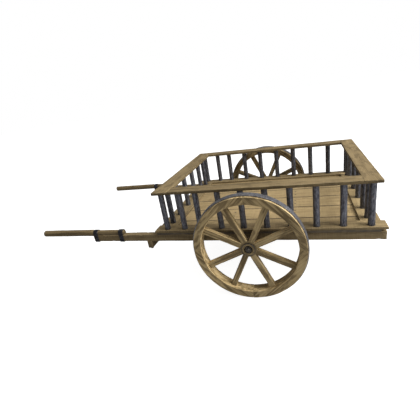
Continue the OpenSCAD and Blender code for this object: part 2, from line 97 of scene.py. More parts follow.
@dataclass
class Surface:
    """A closed surface and what its finish needs to know at each point.

    Attributes:
        points: Places in metres.
        faces: Four point numbers a row; a triangle repeats its last one.
        grain: Metres along, across and through the stuff that the piece is cut from.
        edge: 1 on rounded corners and 0 on flats.
        stain: 1 where iron has blackened the wood.
        tone: The piece's own lightness, from 0 to 1.
    """

    points: np.ndarray
    faces: np.ndarray
    grain: np.ndarray
    edge: np.ndarray
    stain: np.ndarray
    tone: np.ndarray

    @classmethod
    def swept(
        cls,
        rings: np.ndarray,
        grain: np.ndarray,
        edge: np.ndarray,
        tone: float,
        looped: bool = False,
    ) -> "Surface":
        """Joins rings of points into a closed surface.

        Point (i, j) is joined to (i, j + 1), (i + 1, j) and (i + 1, j + 1). Rings close on
        themselves. A looped sweep joins its last ring to its first; any other gets a fan over each
        end.

        Args:
            rings: Points, as rings by points by 3.
            grain: The same for the grain coordinates.
            edge: Worn-edge share, as rings by points.
            tone: The piece's own lightness.
            looped: Whether the last ring meets the first.

        Returns:
            The surface, with its faces outwards.
        """
        rows, cols = rings.shape[:2]
        number = np.arange(rows * cols).reshape(rows, cols)
        lower = number if looped else number[:-1]
        upper = np.roll(number, -1, axis=0) if looped else number[1:]
        quads = np.stack(
            [lower, np.roll(lower, -1, axis=1), np.roll(upper, -1, axis=1), upper], axis=-1
        ).reshape(-1, 4)
        points, coordinates, worn = rings.reshape(-1, 3), grain.reshape(-1, 3), edge.reshape(-1)
        if not looped:
            ends = (0, rows - 1)
            points = np.concatenate([points, [rings[i].mean(axis=0) for i in ends]])
            coordinates = np.concatenate([coordinates, [grain[i].mean(axis=0) for i in ends]])
            worn = np.concatenate([worn, [0.0, 0.0]])
            fans = []
            for centre, i in zip((rows * cols, rows * cols + 1), ends):
                here, beside = number[i], np.roll(number[i], -1)
                pair = (beside, here) if i == 0 else (here, beside)
                middle = np.full(cols, centre)
                fans.append(np.stack([middle, *pair, pair[1]], axis=-1))
            quads = np.concatenate([quads, *fans])
        unstained, tones = np.zeros(len(points)), np.full(len(points), tone)
        return cls(points, quads, coordinates, worn, unstained, tones).facing_out()

    @classmethod
    def joined(cls, parts: Sequence["Surface"]) -> "Surface":
        """Puts several surfaces into one, each still closed by itself."""
        starts = np.cumsum([0] + [len(p.points) for p in parts[:-1]])
        return cls(
            np.concatenate([p.points for p in parts]),
            np.concatenate([p.faces + s for p, s in zip(parts, starts)]),
            np.concatenate([p.grain for p in parts]),
            np.concatenate([p.edge for p in parts]),
            np.concatenate([p.stain for p in parts]),
            np.concatenate([p.tone for p in parts]),
        )

    def facing_out(self) -> "Surface":
        """Turns every face round if the enclosed volume, summed over the faces, is negative."""
        a, b, c, d = (self.points[self.faces[:, k]] for k in range(4))
        volume = np.sum(np.cross(a, b) * c) + np.sum(np.cross(a, c) * d)
        if volume < 0:
            flat = self.faces[:, 2] == self.faces[:, 3]
            triangles, quads = self.faces[:, [0, 2, 1, 1]], self.faces[:, [0, 3, 2, 1]]
            self.faces = np.where(flat[:, None], triangles, quads)
        return self

    def moved(self, place: Callable[[np.ndarray], np.ndarray]) -> "Surface":
        """Moves every point by a function of all points, and keeps the faces outwards."""
        self.points = place(self.points)
        return self.facing_out()

    def clean(self, rolls: bool) -> np.ndarray:
        """The share of each point that is painted as lit, from its normal, which sums its faces' normals; the rest
        gets painted shade.

        Args:
            rolls: Whether the piece rolls about Y. If so it is painted as lit where its normal lies in the
                rolling plane, and if not where its normal points up; painted shade falls on the rest.

        Returns:
            The share at each point.
        """
        a, b, c, d = (self.points[self.faces[:, k]] for k in range(4))
        area = np.cross(c - a, d - b)
        area[self.faces[:, 2] == self.faces[:, 3]] *= 0.5
        normal = np.zeros_like(self.points)
        for k in range(4):
            np.add.at(normal, self.faces[:, k], area)
        length = np.maximum(np.linalg.norm(normal, axis=1), 1e-12)
        # Painted light and shade: the share painted as lit, from the normal's direction alone.
        share = 1 - np.abs(normal[:, 1]) / length if rolls else normal[:, 2] / length
        return np.clip(share, 0, 1)

    def stained(self, irons: np.ndarray, reach: float) -> "Surface":
        """Blackens wood round upright irons, as a bell curve of the distance in plan.

        Args:
            irons: Each iron's X and Y, and its radius.
            reach: How far past the iron the stain spreads, in metres.

        Returns:
            The same surface.
        """
        off = self.points[:, None, :2] - irons[None, :, :2]
        away = np.linalg.norm(off, axis=2) - irons[None, :, 2]
        self.stain = np.exp(-np.clip(away, 0, None) ** 2 / reach ** 2).max(axis=1)
        return self

    def seamed(self, box: Sequence[Vector], reach: float, depth: float = 0.9) -> "Surface":
        """Darkens a plank along its seams, as a bell curve of the distance to its nearest side.

        Args:
            box: The plank's two corners.
            reach: How far the dirt of a seam spreads, in metres.
            depth: How dark the dirt is at the seam.

        Returns:
            The same surface.
        """
        low, high = (np.array(corner)[:2] for corner in box)
        away = np.minimum(self.points[:, :2] - low, high - self.points[:, :2]).min(axis=1).clip(0)
        self.stain = np.maximum(self.stain, depth * np.exp(-(away / reach) ** 2))
        return self

    def built(self, name: str, rolls: bool = False) -> bpy.types.Object:
        """Makes the surface a mesh object at the origin.

        Args:
            name: The object's name.
            rolls: Whether it rolls about Y, which changes which faces are painted as lit.

        Returns:
            The object, linked to the scene, with attributes for its grain, its wear and painted shade, and its
            tone.
        """
        mesh = bpy.data.meshes.new(name)
        count = np.where(self.faces[:, 2] == self.faces[:, 3], 3, 4)
        keep = np.ones(self.faces.shape, bool)
        keep[count == 3, 3] = False
        corners = self.faces[keep]
        mesh.vertices.add(len(self.points))
        mesh.vertices.foreach_set("co", self.points.astype(np.float32).ravel())
        mesh.loops.add(len(corners))
        mesh.loops.foreach_set("vertex_index", corners.astype(np.int32))
        mesh.polygons.add(len(count))
        starts = np.concatenate([[0], np.cumsum(count)[:-1]])
        mesh.polygons.foreach_set("loop_start", starts.astype(np.int32))
        mesh.update(calc_edges=True)
        mesh.validate()
        mesh.polygons.foreach_set("use_smooth", np.ones(len(mesh.polygons), bool))
        mesh.set_sharp_from_angle(angle=math.radians(CREASE_DEG))
        # The middle share says how much of the face is painted as lit; the rest of it gets painted shade.
        wear = np.stack([self.edge, self.clean(rolls), self.stain], axis=-1)
        for key, kind, slot, data in (
            ("grain", "FLOAT_VECTOR", "vector", self.grain),
            ("wear", "FLOAT_VECTOR", "vector", wear),
            ("tone", "FLOAT", "value", self.tone),
        ):
            layer = mesh.attributes.new(key, kind, "POINT")
            layer.data.foreach_set(slot, data.astype(np.float32).ravel())
        piece = bpy.data.objects.new(name, mesh)
        bpy.context.scene.collection.objects.link(piece)
        return piece


def on_corner(way: np.ndarray) -> np.ndarray:
    """1 where an outline's direction points clearly between two flats, and 0 elsewhere."""
    return (np.abs(way).min(axis=1) > 0.1).astype(float)


@dataclass
class Maker:
    """Shapes timbers, turnings and bars, with the unevenness of handwork.

    Attributes:
        rng: The source of every random draw.
        wander_peak: The usual peak of a wander's four sines, which brings it to about 1.
        ripple_peak: The usual peak of a ripple's six waves.
        heart_depth: The middle distance of a timber from its log's heart, in metres.
        edge_wave: Wavelength of the wear along an edge, in metres.
        chip_wave: Wavelength of the chips along an edge, in metres.
        chip_from: How high a wander rises before an edge is chipped.
        chip_depth: How much rounder an edge is at its chips.
        wear_swing: How much the wear along an edge swings about its middle.
        least_wear: The least that an edge is worn, as a share of its middle radius.
        least_radius: The sharpest edge, in metres.
    """

    rng: np.random.Generator
    wander_peak: float = 2.4
    ripple_peak: float = 3.4
    heart_depth: float = 0.09
    edge_wave: float = 0.35
    chip_wave: float = 0.11
    chip_from: float = 0.75
    chip_depth: float = 3.5
    wear_swing: float = 0.35
    least_wear: float = 0.4
    least_radius: float = 0.2 * MM

    def wander(self, along: np.ndarray, wavelength: float, lanes: int) -> np.ndarray:
        """Smooth random lines from about -1 to 1: each sums four sines of random length and phase.

        Args:
            along: Places along the piece, in metres.
            wavelength: The middle wavelength, in metres.
            lanes: How many independent lines.

        Returns:
            Values, as places by lanes.
        """
        waves = wavelength * self.rng.uniform(0.5, 2.0, (4, lanes))
        phases = self.rng.uniform(0, FULL_TURN, (4, lanes))
        sines = np.sin(FULL_TURN * along[:, None, None] / waves + phases)
        return sines.sum(axis=1) / self.wander_peak

    def ripple(self, points: np.ndarray, wavelength: float) -> np.ndarray:
        """Smooth random field from about -1 to 1: a sum of six plane waves of random direction."""
        ways = self.rng.normal(size=(6, 3))
        ways *= FULL_TURN / wavelength / np.linalg.norm(ways, axis=1, keepdims=True)
        ways *= self.rng.uniform(0.6, 1.6, (6, 1))
        waves = np.sin(points @ ways.T + self.rng.uniform(0, FULL_TURN, 6))
        return waves.sum(axis=-1) / self.ripple_peak

    def sinking(self, points: np.ndarray, most: float, wavelength: float) -> np.ndarray:
        """How deep each point sinks: a ripple, moved into the range from nothing to the most."""
        return most * (0.5 + 0.5 * self.ripple(points, wavelength).clip(-1, 1))

    def log_place(self) -> np.ndarray:
        """Where in its log a timber was sawn: a random place along, and one off the log's heart."""
        return np.array([
            self.rng.uniform(0, 40),
            self.rng.uniform(-0.05, 0.05),
            self.rng.choice([-1, 1]) * self.rng.uniform(0.4, 1.3) * self.heart_depth,
        ])

    def tone(self) -> float:
        """A piece's own lightness."""
        return float(self.rng.uniform(0, 1))

    def edge_radius(self, rows: np.ndarray, corner: float, chips: float) -> np.ndarray:
        """Radius of a timber's four worn edges: one wander wears them and another one chips them.

        Args:
            rows: Places along the timber, in metres.
            corner: Middle radius.
            chips: How strongly the edges are chipped.

        Returns:
            Radii, as places by edges.
        """
        worn = 1 + self.wear_swing * self.wander(rows, self.edge_wave, 4)
        chip = np.clip(self.wander(rows, self.chip_wave, 4) - self.chip_from, 0, None)
        return corner * (np.clip(worn, self.least_wear, None) + self.chip_depth * chips * chip)

    def outline(
        self, half: tuple[float, float], step: float
    ) -> tuple[np.ndarray, np.ndarray, np.ndarray]:
        """Outline of a rectangle with round corners, ready for any corner radius.

        A point is core * (half - radius) + direction * radius: the core walks from corner to corner
        of a square of half side 1, and the direction turns a quarter circle at each corner.

        Args:
            half: Half the width and half the depth, in metres.
            step: Distance between points on the flats.

        Returns:
            Cores, directions, and the shares of the four corners in each point.
        """
        support = 3 * MM
        cores, ways, shares = [], [], []
        corners = np.array([(1, 1), (-1, 1), (-1, -1), (1, -1)], float)
        for k in range(4):
            turn = math.radians(90 * k) + np.linspace(0, math.pi / 2, 4)
            cores.append(np.repeat(corners[k:k + 1], 4, axis=0))
            ways.append(np.stack([np.cos(turn), np.sin(turn)], axis=-1))
            shares.append(np.repeat(np.eye(4)[k:k + 1], 4, axis=0))
            length = 2 * half[k % 2]
            spaces = max(2, round(length / step))
            inner = np.arange(1, spaces) / spaces
            t = np.concatenate([[support / length], inner, [1 - support / length]])[:, None]
            after = (k + 1) % 4
            cores.append((1 - t) * corners[k] + t * corners[after])
            ways.append(np.repeat(ways[-1][-1:], len(t), axis=0))
            shares.append((1 - t) * np.eye(4)[k] + t * np.eye(4)[after])
        return np.concatenate(cores), np.concatenate(ways), np.concatenate(shares)

    def timber(
        self,
        stations: np.ndarray,
        axis: Axis,
        corner: float = 3 * MM,
        uneven: float = 0.7 * MM,
        step: float = 12 * MM,
        chips: float = 1.0,
        log: Union[np.ndarray, None] = None,
    ) -> Surface:
        """A long piece of rectangular section with worn edges.

        Each row of points is the section's outline. Half sizes come from the stations by straight
        lines, corners wear by smooth random amounts along each edge, the ends are rounded by a
        quarter circle, and every point sinks by a smooth random amount, so nothing stands proud.

        Args:
            stations: Rows of (along, lowest and highest across, lowest and highest through).
            axis: The frame's axis that it lies along.
            corner: Middle radius of the worn edges.
            uneven: How deep the surface sinks at most.
            step: Distance between points.
            chips: How strongly the edges are chipped.
            log: Where in its log it was sawn, or None for a random place.

        Returns:
            The surface in the frame's axes.
        """
        stations = np.asarray(stations, float)
        start, end = stations[0, 0], stations[-1, 0]
        rounding = 0.8 * corner
        turn = np.linspace(0, math.pi / 2, 4)
        rise, sink = rounding * (1 - np.cos(turn)), rounding * (1 - np.sin(turn))
        count = max(3, round((end - start) / step))
        inner = np.linspace(start + 2 * rounding, end - 2 * rounding, count)
        along = np.unique(np.concatenate([inner, stations[1:-1, 0]]))
        rows = np.concatenate([start + rise, along, end - rise[::-1]])
        shrink = np.concatenate([sink, np.zeros(len(along)), sink[::-1]])
        places, limits = stations[:, 0], stations[:, 1:].T
        extents = np.stack([np.interp(rows, places, limit) for limit in limits], axis=-1)
        middle = (extents[:, 0::2] + extents[:, 1::2]) / 2
        half = (extents[:, 1::2] - extents[:, 0::2]) / 2 - shrink[:, None]
        core, way, share = self.outline(tuple(half.max(axis=0)), step)
        widest = 0.45 * half.min(axis=1, keepdims=True)
        radius = np.minimum(self.edge_radius(rows, corner, chips), widest) - shrink[:, None]
        radius = np.maximum(radius, self.least_radius) @ share.T
        flat = core * (half[:, None, :] - radius[:, :, None]) + way * radius[:, :, None]
        along_each = np.repeat(rows[:, None, None], len(core), axis=1)
        local = np.concatenate([along_each, flat + middle[:, None, :]], axis=-1)
        stretched = local * np.array([0.3, 1, 1])  # unevenness runs on along the piece
        depth = self.sinking(stretched, uneven, wavelength=0.09)
        local[..., 1:] -= way * depth[..., None]
        grain = local - np.array([start, *middle.mean(axis=0)])
        grain = grain + (self.log_place() if log is None else log)
        edge = np.maximum(on_corner(way)[None], (shrink > 0)[:, None])
        return Surface.swept(axis.turned(local), grain, edge, self.tone())

    def box_timber(self, low: Vector, high: Vector, axis: Axis, **how: object) -> Surface:
        """A timber that fills a box, from its lowest to its highest corner."""
        lo, hi = (np.roll(np.array(c), -axis.value) for c in (low, high))
        stations = [[end, lo[1], hi[1], lo[2], hi[2]] for end in (lo[0], hi[0])]
        return self.timber(np.array(stations), axis, **how)

    def turned(
        self,
        profile: Sequence[tuple[float, float]],
        axis: Axis,
        centre: Sequence[float],
        around: int = 48,
        uneven: float = 0.3 * MM,
        corner: float = 1.5 * MM,
        log: Union[np.ndarray, None] = None,
        looped: bool = False,
        wavelength: float = 0.05,
        sides: int = 0,
    ) -> Surface:
        """A turned piece: a profile of (along, radius) carried round an axis.

        Each profile corner is cut back along both its sides, with a point between the cuts, which
        rounds it. With sides, the radius is held within a regular polygon whose corners lie at the
        profile's largest radius R: R * cos(half a side's angle) / cos(angle from the side's middle).
        The radius then sinks by a smooth random amount.

        Args:
            profile: Corners of (place along the axis, radius), in metres.
            axis: The turning axis.
            centre: A point of the axis, from which the profile's places are counted.
            around: Points in a ring.
            uneven: How deep the surface sinks at most.
            corner: How far a corner is cut back, or 0 to keep the profile as it is.
            log: Where in its log it was sawn, or None for a random place.
            looped: Whether the profile closes on itself, as a ring's does.
            wavelength: Size of the unevenness.
            sides: Number of flats, or 0 for a round piece.

        Returns:
            The surface in the frame's axes.
        """
        corners = np.array(profile, float)
        before = np.roll(corners, 1, axis=0) - corners
        after = np.roll(corners, -1, axis=0) - corners
        support, between = 1.8, 0.29  # places of the outer rows and of the middle one, in cuts
        rows, worn = [], []
        for k, point in enumerate(corners):
            if corner == 0 or (not looped and k in (0, len(corners) - 1)):
                rows.append(point)
                worn.append(0.0)
                continue
            cuts = [
                side / max(np.linalg.norm(side), 1e-9) * min(corner, 0.4 * np.linalg.norm(side))
                for side in (before[k], after[k])
            ]
            rows += [point + cuts[0] * support, point + cuts[0]]
            rows += [point + (cuts[0] + cuts[1]) * between]
            rows += [point + cuts[1], point + cuts[1] * support]
            worn += [0.0, 1.0, 1.0, 1.0, 0.0]
        rows_array = np.array(rows)
        angle = np.arange(around) * FULL_TURN / around
        radius = np.repeat(rows_array[:, 1:], around, axis=1)
        if sides:
            flat = FULL_TURN / sides
            off = (angle + flat / 2) % flat - flat / 2
            radius = np.minimum(radius, rows_array[:, 1].max() * math.cos(flat / 2) / np.cos(off))
        along = np.repeat(rows_array[:, :1], around, axis=1)
        local = np.stack([along, radius * np.cos(angle), radius * np.sin(angle)], axis=-1)
        depth = self.sinking(local, uneven, wavelength)
        scale = 1 - depth / np.maximum(radius, 2 * MM)
        local[..., 1:] *= scale[..., None]
        grain = local + (self.log_place() if log is None else log)
        edge = np.repeat(np.array(worn)[:, None], around, axis=1)
        made = Surface.swept(axis.turned(local), grain, edge, self.tone(), looped)
        return made.moved(lambda points: points + np.array(centre))

    def ring(
        self,
        ends: tuple[float, float],
        radii: tuple[float, float],
        centre: Sequence[float] = (0, 0, 0),
        **how: object,
    ) -> Surface:
        """A ring of rectangular section, turned about Y.

        Args:
            ends: Its low and high place along the axis.
            radii: Its inner and outer radius.
            centre: A point of the axis, from which the ends are counted.
            **how: What else turned() takes.

        Returns:
            The surface in the frame's axes.
        """
        (low, high), (inner, outer) = ends, radii
        profile = [(low, inner), (low, outer), (high, outer), (high, inner)]
        return self.turned(profile, Axis.Y, centre, looped=True, **how)

    def nail_head(self, place: Sequence[float], radius: float = 4.4 * MM) -> Surface:
        """The low dome of a hand-made nail, with its top just under a height."""
        profile = [
            (-2 * MM, radius * 0.7), (-0.7 * MM, radius), (-0.35 * MM, 0.8 * radius),
            (-0.1 * MM, 0.35 * radius),
        ]
        return self.turned(
            profile, Axis.Z, place, around=10, uneven=0.15 * MM, corner=0, wavelength=0.004
        )

    def rod(self, path: np.ndarray, radius: float, around: int) -> Surface:
        """A round bar along a path: each ring stands square to the path's direction at its point.

        Args:
            path: Places of its middle line.
            radius: Its radius.
            around: Points in a ring.

        Returns:
            The surface in the frame's axes.
        """
        way = np.gradient(path, axis=0)
        way /= np.linalg.norm(way, axis=1, keepdims=True)
        side = np.cross(way, np.eye(3)[np.abs(way).sum(axis=0).argmin()])
        side /= np.linalg.norm(side, axis=1, keepdims=True)
        up = np.cross(way, side)
        angle = (np.arange(around) * FULL_TURN / around)[None, :, None]
        ring = side[:, None] * np.cos(angle) + up[:, None] * np.sin(angle)
        points = path[:, None] + ring * radius
        return Surface.swept(points, points.copy(), np.zeros(points.shape[:2]), tone=0.5)


# ---- Finishes ----


class Graph:
    """Short ways to add nodes to one node tree."""

    def __init__(self, tree: bpy.types.NodeTree) -> None:
        """Keeps the tree that the nodes go in."""
        self.tree = tree

    def node(self, kind: str, **settings: object) -> bpy.types.Node:
        """Adds a node of a kind and sets its properties."""
        made = self.tree.nodes.new("ShaderNode" + kind)
        for key, value in settings.items():
            setattr(made, key, value)
        return made

    def feed(self, socket: Socket, value: Value) -> None:
        """Links a socket to an input, or sets the input's own value."""
        if isinstance(value, bpy.types.NodeSocket):
            self.tree.links.new(value, socket)
        elif isinstance(value, (int, float)):
            socket.default_value = value
        else:
            socket.default_value = (*value, 1.0)[: len(socket.default_value)]

    def math(self, operation: str, *values: Value) -> Socket:
        """Adds a Math node."""
        made = self.node("Math", operation=operation)
        for socket, value in zip(made.inputs, values):
            self.feed(socket, value)
        return made.outputs[0]

    def total(self, *terms: Value) -> Socket:
        """Adds numbers up, from left to right."""
        return reduce(lambda so_far, term: self.math("ADD", so_far, term), terms)

    def times(self, *factors: Value) -> Socket:
        """Multiplies numbers, from left to right."""
        return reduce(lambda so_far, factor: self.math("MULTIPLY", so_far, factor), factors)

    def scaled(self, vector: Value, factors: Value) -> Socket:
        """Multiplies a vector's numbers by another's, each by each."""
        made = self.node("VectorMath", operation="MULTIPLY")
        self.feed(made.inputs[0], vector)
        self.feed(made.inputs[1], factors)
        return made.outputs[0]

    def mixed(self, share: Value, first: Value, second: Value) -> Socket:
        """Mixes two colours."""
        made = self.node("Mix", data_type="RGBA", clamp_factor=True)
        for index, value in ((0, share), (6, first), (7, second)):
            self.feed(made.inputs[index], value)
        return made.outputs[2]

    def noise(
        self, place: Socket, stretch: Sequence[Number], detail: Number = 2, rough: Number = 0.5
    ) -> Socket:
        """Noise from 0 to 1, of the stated cycles a metre along each direction."""
        made = self.node("TexNoise")
        self.feed(made.inputs["Vector"], self.scaled(place, stretch))
        made.inputs["Scale"].default_value = 1.0
        made.inputs["Detail"].default_value = detail
        made.inputs["Roughness"].default_value = rough
        return made.outputs[0]

    def between(
        self, value: Value, low: Value, high: Value, to_low: Value = 0.0, to_high: Value = 1.0
    ) -> Socket:
        """Carries a value smoothly from one range to another, and holds it at the ends."""
        made = self.node("MapRange", interpolation_type="SMOOTHSTEP")
        for socket, number in zip(made.inputs, (value, low, high, to_low, to_high)):
            self.feed(socket, number)
        return made.outputs[0]

    def swing(self, value: Value, amount: Value) -> Socket:
        """A 0 to 1 value as a swing about nothing, times an amount."""
        return self.times(self.math("SUBTRACT", value, 0.5), amount)

    def split(self, vector: Socket) -> tuple[Socket, Socket, Socket]:
        """The three numbers of a vector."""
        made = self.node("SeparateXYZ")
        self.feed(made.inputs[0], vector)
        return made.outputs[0], made.outputs[1], made.outputs[2]


class Kind(Enum):
    """What a group's input or output carries."""

    NUMBER = "NodeSocketFloat"
    COLOUR = "NodeSocketColor"
    VECTOR = "NodeSocketVector"


class Effect:
    """A node group with named inputs and outputs, built once and placed in many finishes.

    Attributes:
        name: The group's name.
        inputs: What each input carries.
        outputs: What each output carries.
    """

    name: str = ""
    inputs: dict[str, Kind] = {}
    outputs: dict[str, Kind] = {}

    @classmethod
    def tree(cls) -> bpy.types.NodeTree:
        """The group's node tree, made at its first use."""
        found = bpy.data.node_groups.get(cls.name)
        if found:
            return found
        made = bpy.data.node_groups.new(cls.name, "ShaderNodeTree")
        for way, sockets in (("INPUT", cls.inputs), ("OUTPUT", cls.outputs)):
            for label, kind in sockets.items():
                made.interface.new_socket(label, in_out=way, socket_type=kind.value)
        way_in, way_out = made.nodes.new("NodeGroupInput"), made.nodes.new("NodeGroupOutput")
        graph = Graph(made)
        given = {socket.name: socket for socket in way_in.outputs if socket.name}
        for label, value in cls.build(graph, given).items():
            graph.feed(way_out.inputs[label], value)
        return made

    @classmethod
    def build(cls, g: Graph, given: dict[str, Socket]) -> dict[str, Socket]:
        """Adds the group's nodes.

        Args:
            g: The group's graph.
            given: The group's inputs by name.

        Returns:
            What each output gives.
        """
        raise NotImplementedError

    @classmethod
    def placed(cls, g: Graph, finish: "Finish", **sockets: Value) -> dict[str, Socket]:
        """Places the group in a finish's graph and feeds it.

        Args:
            g: The finish's graph.
            finish: Its fields feed the inputs that bear their names.
            **sockets: What feeds the other inputs, by their names in lower case.

        Returns:
            The group's outputs by name.
        """
        made = g.node("Group", node_tree=cls.tree())
        for label in cls.inputs:
            key = label.lower().replace(" ", "_")
            g.feed(made.inputs[label], sockets[key] if key in sockets else getattr(finish, key))
        return {socket.name: socket for socket in made.outputs}


class WoodGrain(Effect):
    """Sawn timber: rings about the log's heart, fibres, streaks, saw marks, knots and cracks."""

    name = "Wood grain"
    inputs = (
        {"Grain": Kind.VECTOR}
        | dict.fromkeys(("Dark", "Middle", "Light"), Kind.COLOUR)
        | dict.fromkeys(
            ("Ring Gap", "Rings", "Streaks", "Saw Marks", "Cracks", "Blotches"), Kind.NUMBER
        )
    )
    outputs = {"Color": Kind.COLOUR, "Height": Kind.NUMBER, "Roughness": Kind.NUMBER}

    @classmethod
    def build(cls, g: Graph, given: dict[str, Socket]) -> dict[str, Socket]:
        """Rings are the bent distance from the heart over their gap; the rest is long noise."""
        grain = given["Grain"]
        bend = g.noise(grain, (1.1, 9, 9), 2)
        along, across, through = g.split(grain)
        knot_cell = g.node("TexVoronoi", feature="F1")
        g.feed(knot_cell.inputs["Vector"], g.scaled(grain, (1.1, 5.5, 2.5)))
        knot_cell.inputs["Scale"].default_value = 1.0
        knot = g.between(knot_cell.outputs["Distance"], 0.05, 0.16, 1.0, 0.0)
        heart = g.math("SQRT", g.total(g.math("POWER", across, 2.0), g.math("POWER", through, 2.0)))
        bent = g.total(heart, g.swing(bend, 0.045), g.times(knot, 0.02), g.times(along, 0.004))
        ring = g.math("FRACT", g.math("DIVIDE", bent, given["Ring Gap"]))
        late = g.times(g.between(ring, 0.25, 0.9), g.between(ring, 0.93, 1.0, 1.0, 0.0))
        fibre = g.noise(grain, (16, 520, 520), 3, 0.6)
        streak = g.noise(grain, (1.5, 42, 42), 4, 0.6)
        patch = g.noise(grain, (2.3, 7, 7), 3, 0.5)
        saw = g.noise(grain, (105, 3.5, 3.5), 2, 0.7)
        line = g.math("ABSOLUTE", g.math("SUBTRACT", g.noise(grain, (0.9, 33, 33), 1, 0.5), 0.5))
        where = g.between(g.noise(grain, (2.6, 12, 12), 1), 0.52, 0.62)
        crack = g.times(g.between(line, 0.0, 0.006, 1.0, 0.0), g.times(where, given["Cracks"]))
        lightness = g.total(
            0.5,
            g.swing(fibre, 0.55),
            g.swing(streak, g.times(given["Streaks"], 1.9)),
            g.swing(patch, g.times(given["Streaks"], 1.2)),
            g.swing(saw, given["Saw Marks"]),
            g.times(late, g.times(given["Rings"], -1.0)),
        )
        lower = g.mixed(g.between(lightness, 0.0, 0.5), given["Dark"], given["Middle"])
        wood = g.mixed(g.between(lightness, 0.5, 1.0), lower, given["Light"])
        damp = g.between(g.noise(grain, (7, 24, 24), 3, 0.6), 0.49, 0.62)
        blotched = g.mixed(g.times(damp, given["Blotches"]), wood, given["Dark"])
        knotted = g.mixed(g.times(knot, 0.55), blotched, given["Dark"])
        cracked = g.mixed(crack, knotted, (0.02, 0.014, 0.008))
        height = g.total(
            g.times(fibre, 0.5),
            g.times(late, 0.35),
            g.times(saw, g.times(given["Saw Marks"], 0.6)),
            g.times(streak, 0.3),
            g.times(crack, -2.0),
        )
        rough = g.total(0.66, g.swing(fibre, 0.12), g.swing(patch, -0.2), g.times(late, -0.05))
        return {"Color": cracked, "Height": height, "Roughness": rough}


class Weathering(Effect):
    """What use and weather do, and painted shade: paler edges, black stains round iron, and painted shade on faces
    that turn from the light.
    """

    name = "Weathering"
    inputs = {"Color": Kind.COLOUR, "Grain": Kind.VECTOR, "Wear": Kind.VECTOR} | dict.fromkeys(
        ("Tone", "Tone Spread", "Shade", "Edge Paleness", "Stain Depth"), Kind.NUMBER
    )
    outputs = {"Color": Kind.COLOUR, "Dull": Kind.NUMBER}

    @classmethod
    def build(cls, g: Graph, given: dict[str, Socket]) -> dict[str, Socket]:
        """Each mask is its share of wear or of painted shade, broken up by noise; brightness, which carries the
        painted shade, is multiplied last.
        """
        edge, clean, stain = g.split(given["Wear"])
        grain = given["Grain"]
        patch = g.noise(grain, (18, 60, 60), 3, 0.6)
        rubbed = g.times(edge, g.between(patch, 0.35, 0.65), given["Edge Paleness"])
        pale = g.mixed(rubbed, given["Color"], (0.42, 0.34, 0.22))
        soaked = g.between(g.total(stain, g.swing(patch, 0.6)), 0.25, 1.0)
        soak = g.times(soaked, given["Stain Depth"])
        stained = g.mixed(soak, pale, (0.035, 0.032, 0.03))
        # Painted shade: faces turned from the light are darkened by the wood's shade, broken up by noise, and made
        # a little rougher.
        unlit_share = g.times(g.between(clean, 0.05, 0.6, 1.0, 0.0), given["Shade"])
        painted_shade = g.times(unlit_share, g.between(g.noise(grain, (4, 14, 14), 3), 0.2, 0.8, 0.75, 1.15))
        own = g.total(1.0, g.swing(given["Tone"], given["Tone Spread"]))
        brightness = g.times(g.math("SUBTRACT", 1.0, painted_shade), own)
        shaded = g.scaled(stained, g.scaled((1, 1, 1), brightness))
        return {"Color": shaded, "Dull": g.times(painted_shade, 0.15)}


class IronSkin(Effect):
    """Forged iron: patches of scale, drawn lines, hammer marks, and rust in the hollows."""

    name = "Iron skin"
    inputs = (
        dict.fromkeys(("Grain", "Wear"), Kind.VECTOR)
        | dict.fromkeys(("Dark", "Light", "Bright"), Kind.COLOUR)
        | dict.fromkeys(("Tone", "Rust", "Hammer Size"), Kind.NUMBER)
    )
    outputs = {"Color": Kind.COLOUR} | dict.fromkeys(("Height", "Roughness", "Metal"), Kind.NUMBER)

    @classmethod
    def build(cls, g: Graph, given: dict[str, Socket]) -> dict[str, Socket]:
        """Patches and lines are noise; hammer marks are rounded cells; edges are rubbed bright."""
        grain = given["Grain"]
        edge = g.split(given["Wear"])[0]
        scale = g.noise(grain, (30, 75, 75), 4, 0.65)
        drawn = g.noise(grain, (9, 330, 330), 3, 0.6)
        fine = g.noise(grain, (420, 420, 420), 3, 0.6)
        cells = g.node("TexVoronoi", feature="SMOOTH_F1")
        g.feed(cells.inputs["Vector"], grain)
        g.feed(cells.inputs["Scale"], g.math("DIVIDE", 1.0, given["Hammer Size"]))
        cells.inputs["Smoothness"].default_value = 0.6
        dent = cells.outputs["Distance"]
        own = g.swing(given["Tone"], 0.12)
        share = g.total(scale, g.swing(drawn, 0.8), g.swing(fine, 0.35), own)
        skin = g.mixed(g.between(share, 0.25, 0.85), given["Dark"], given["Light"])
        rubbed = g.times(edge, g.between(g.total(fine, g.swing(scale, 1.0)), 0.4, 0.75))
        bright = g.mixed(g.times(rubbed, 0.6), skin, given["Bright"])
        spots = g.noise(grain, (34, 34, 34), 6, 0.7)
        rust = g.times(g.between(g.total(spots, g.swing(dent, 0.2)), 0.56, 0.7), given["Rust"])
        rust_tone = g.mixed(fine, (0.05, 0.02, 0.01), (0.16, 0.07, 0.03))
        height = g.total(dent, g.times(fine, 0.14), g.times(drawn, 0.12), g.times(rust, 0.2))
        rough = g.total(0.5, g.swing(scale, 0.3), g.times(rubbed, -0.15), g.times(rust, 0.3))
        return {
            "Color": g.mixed(rust, bright, rust_tone),
            "Height": height,
            "Roughness": rough,
            "Metal": g.math("SUBTRACT", 0.85, g.times(rust, 0.85)),
        }


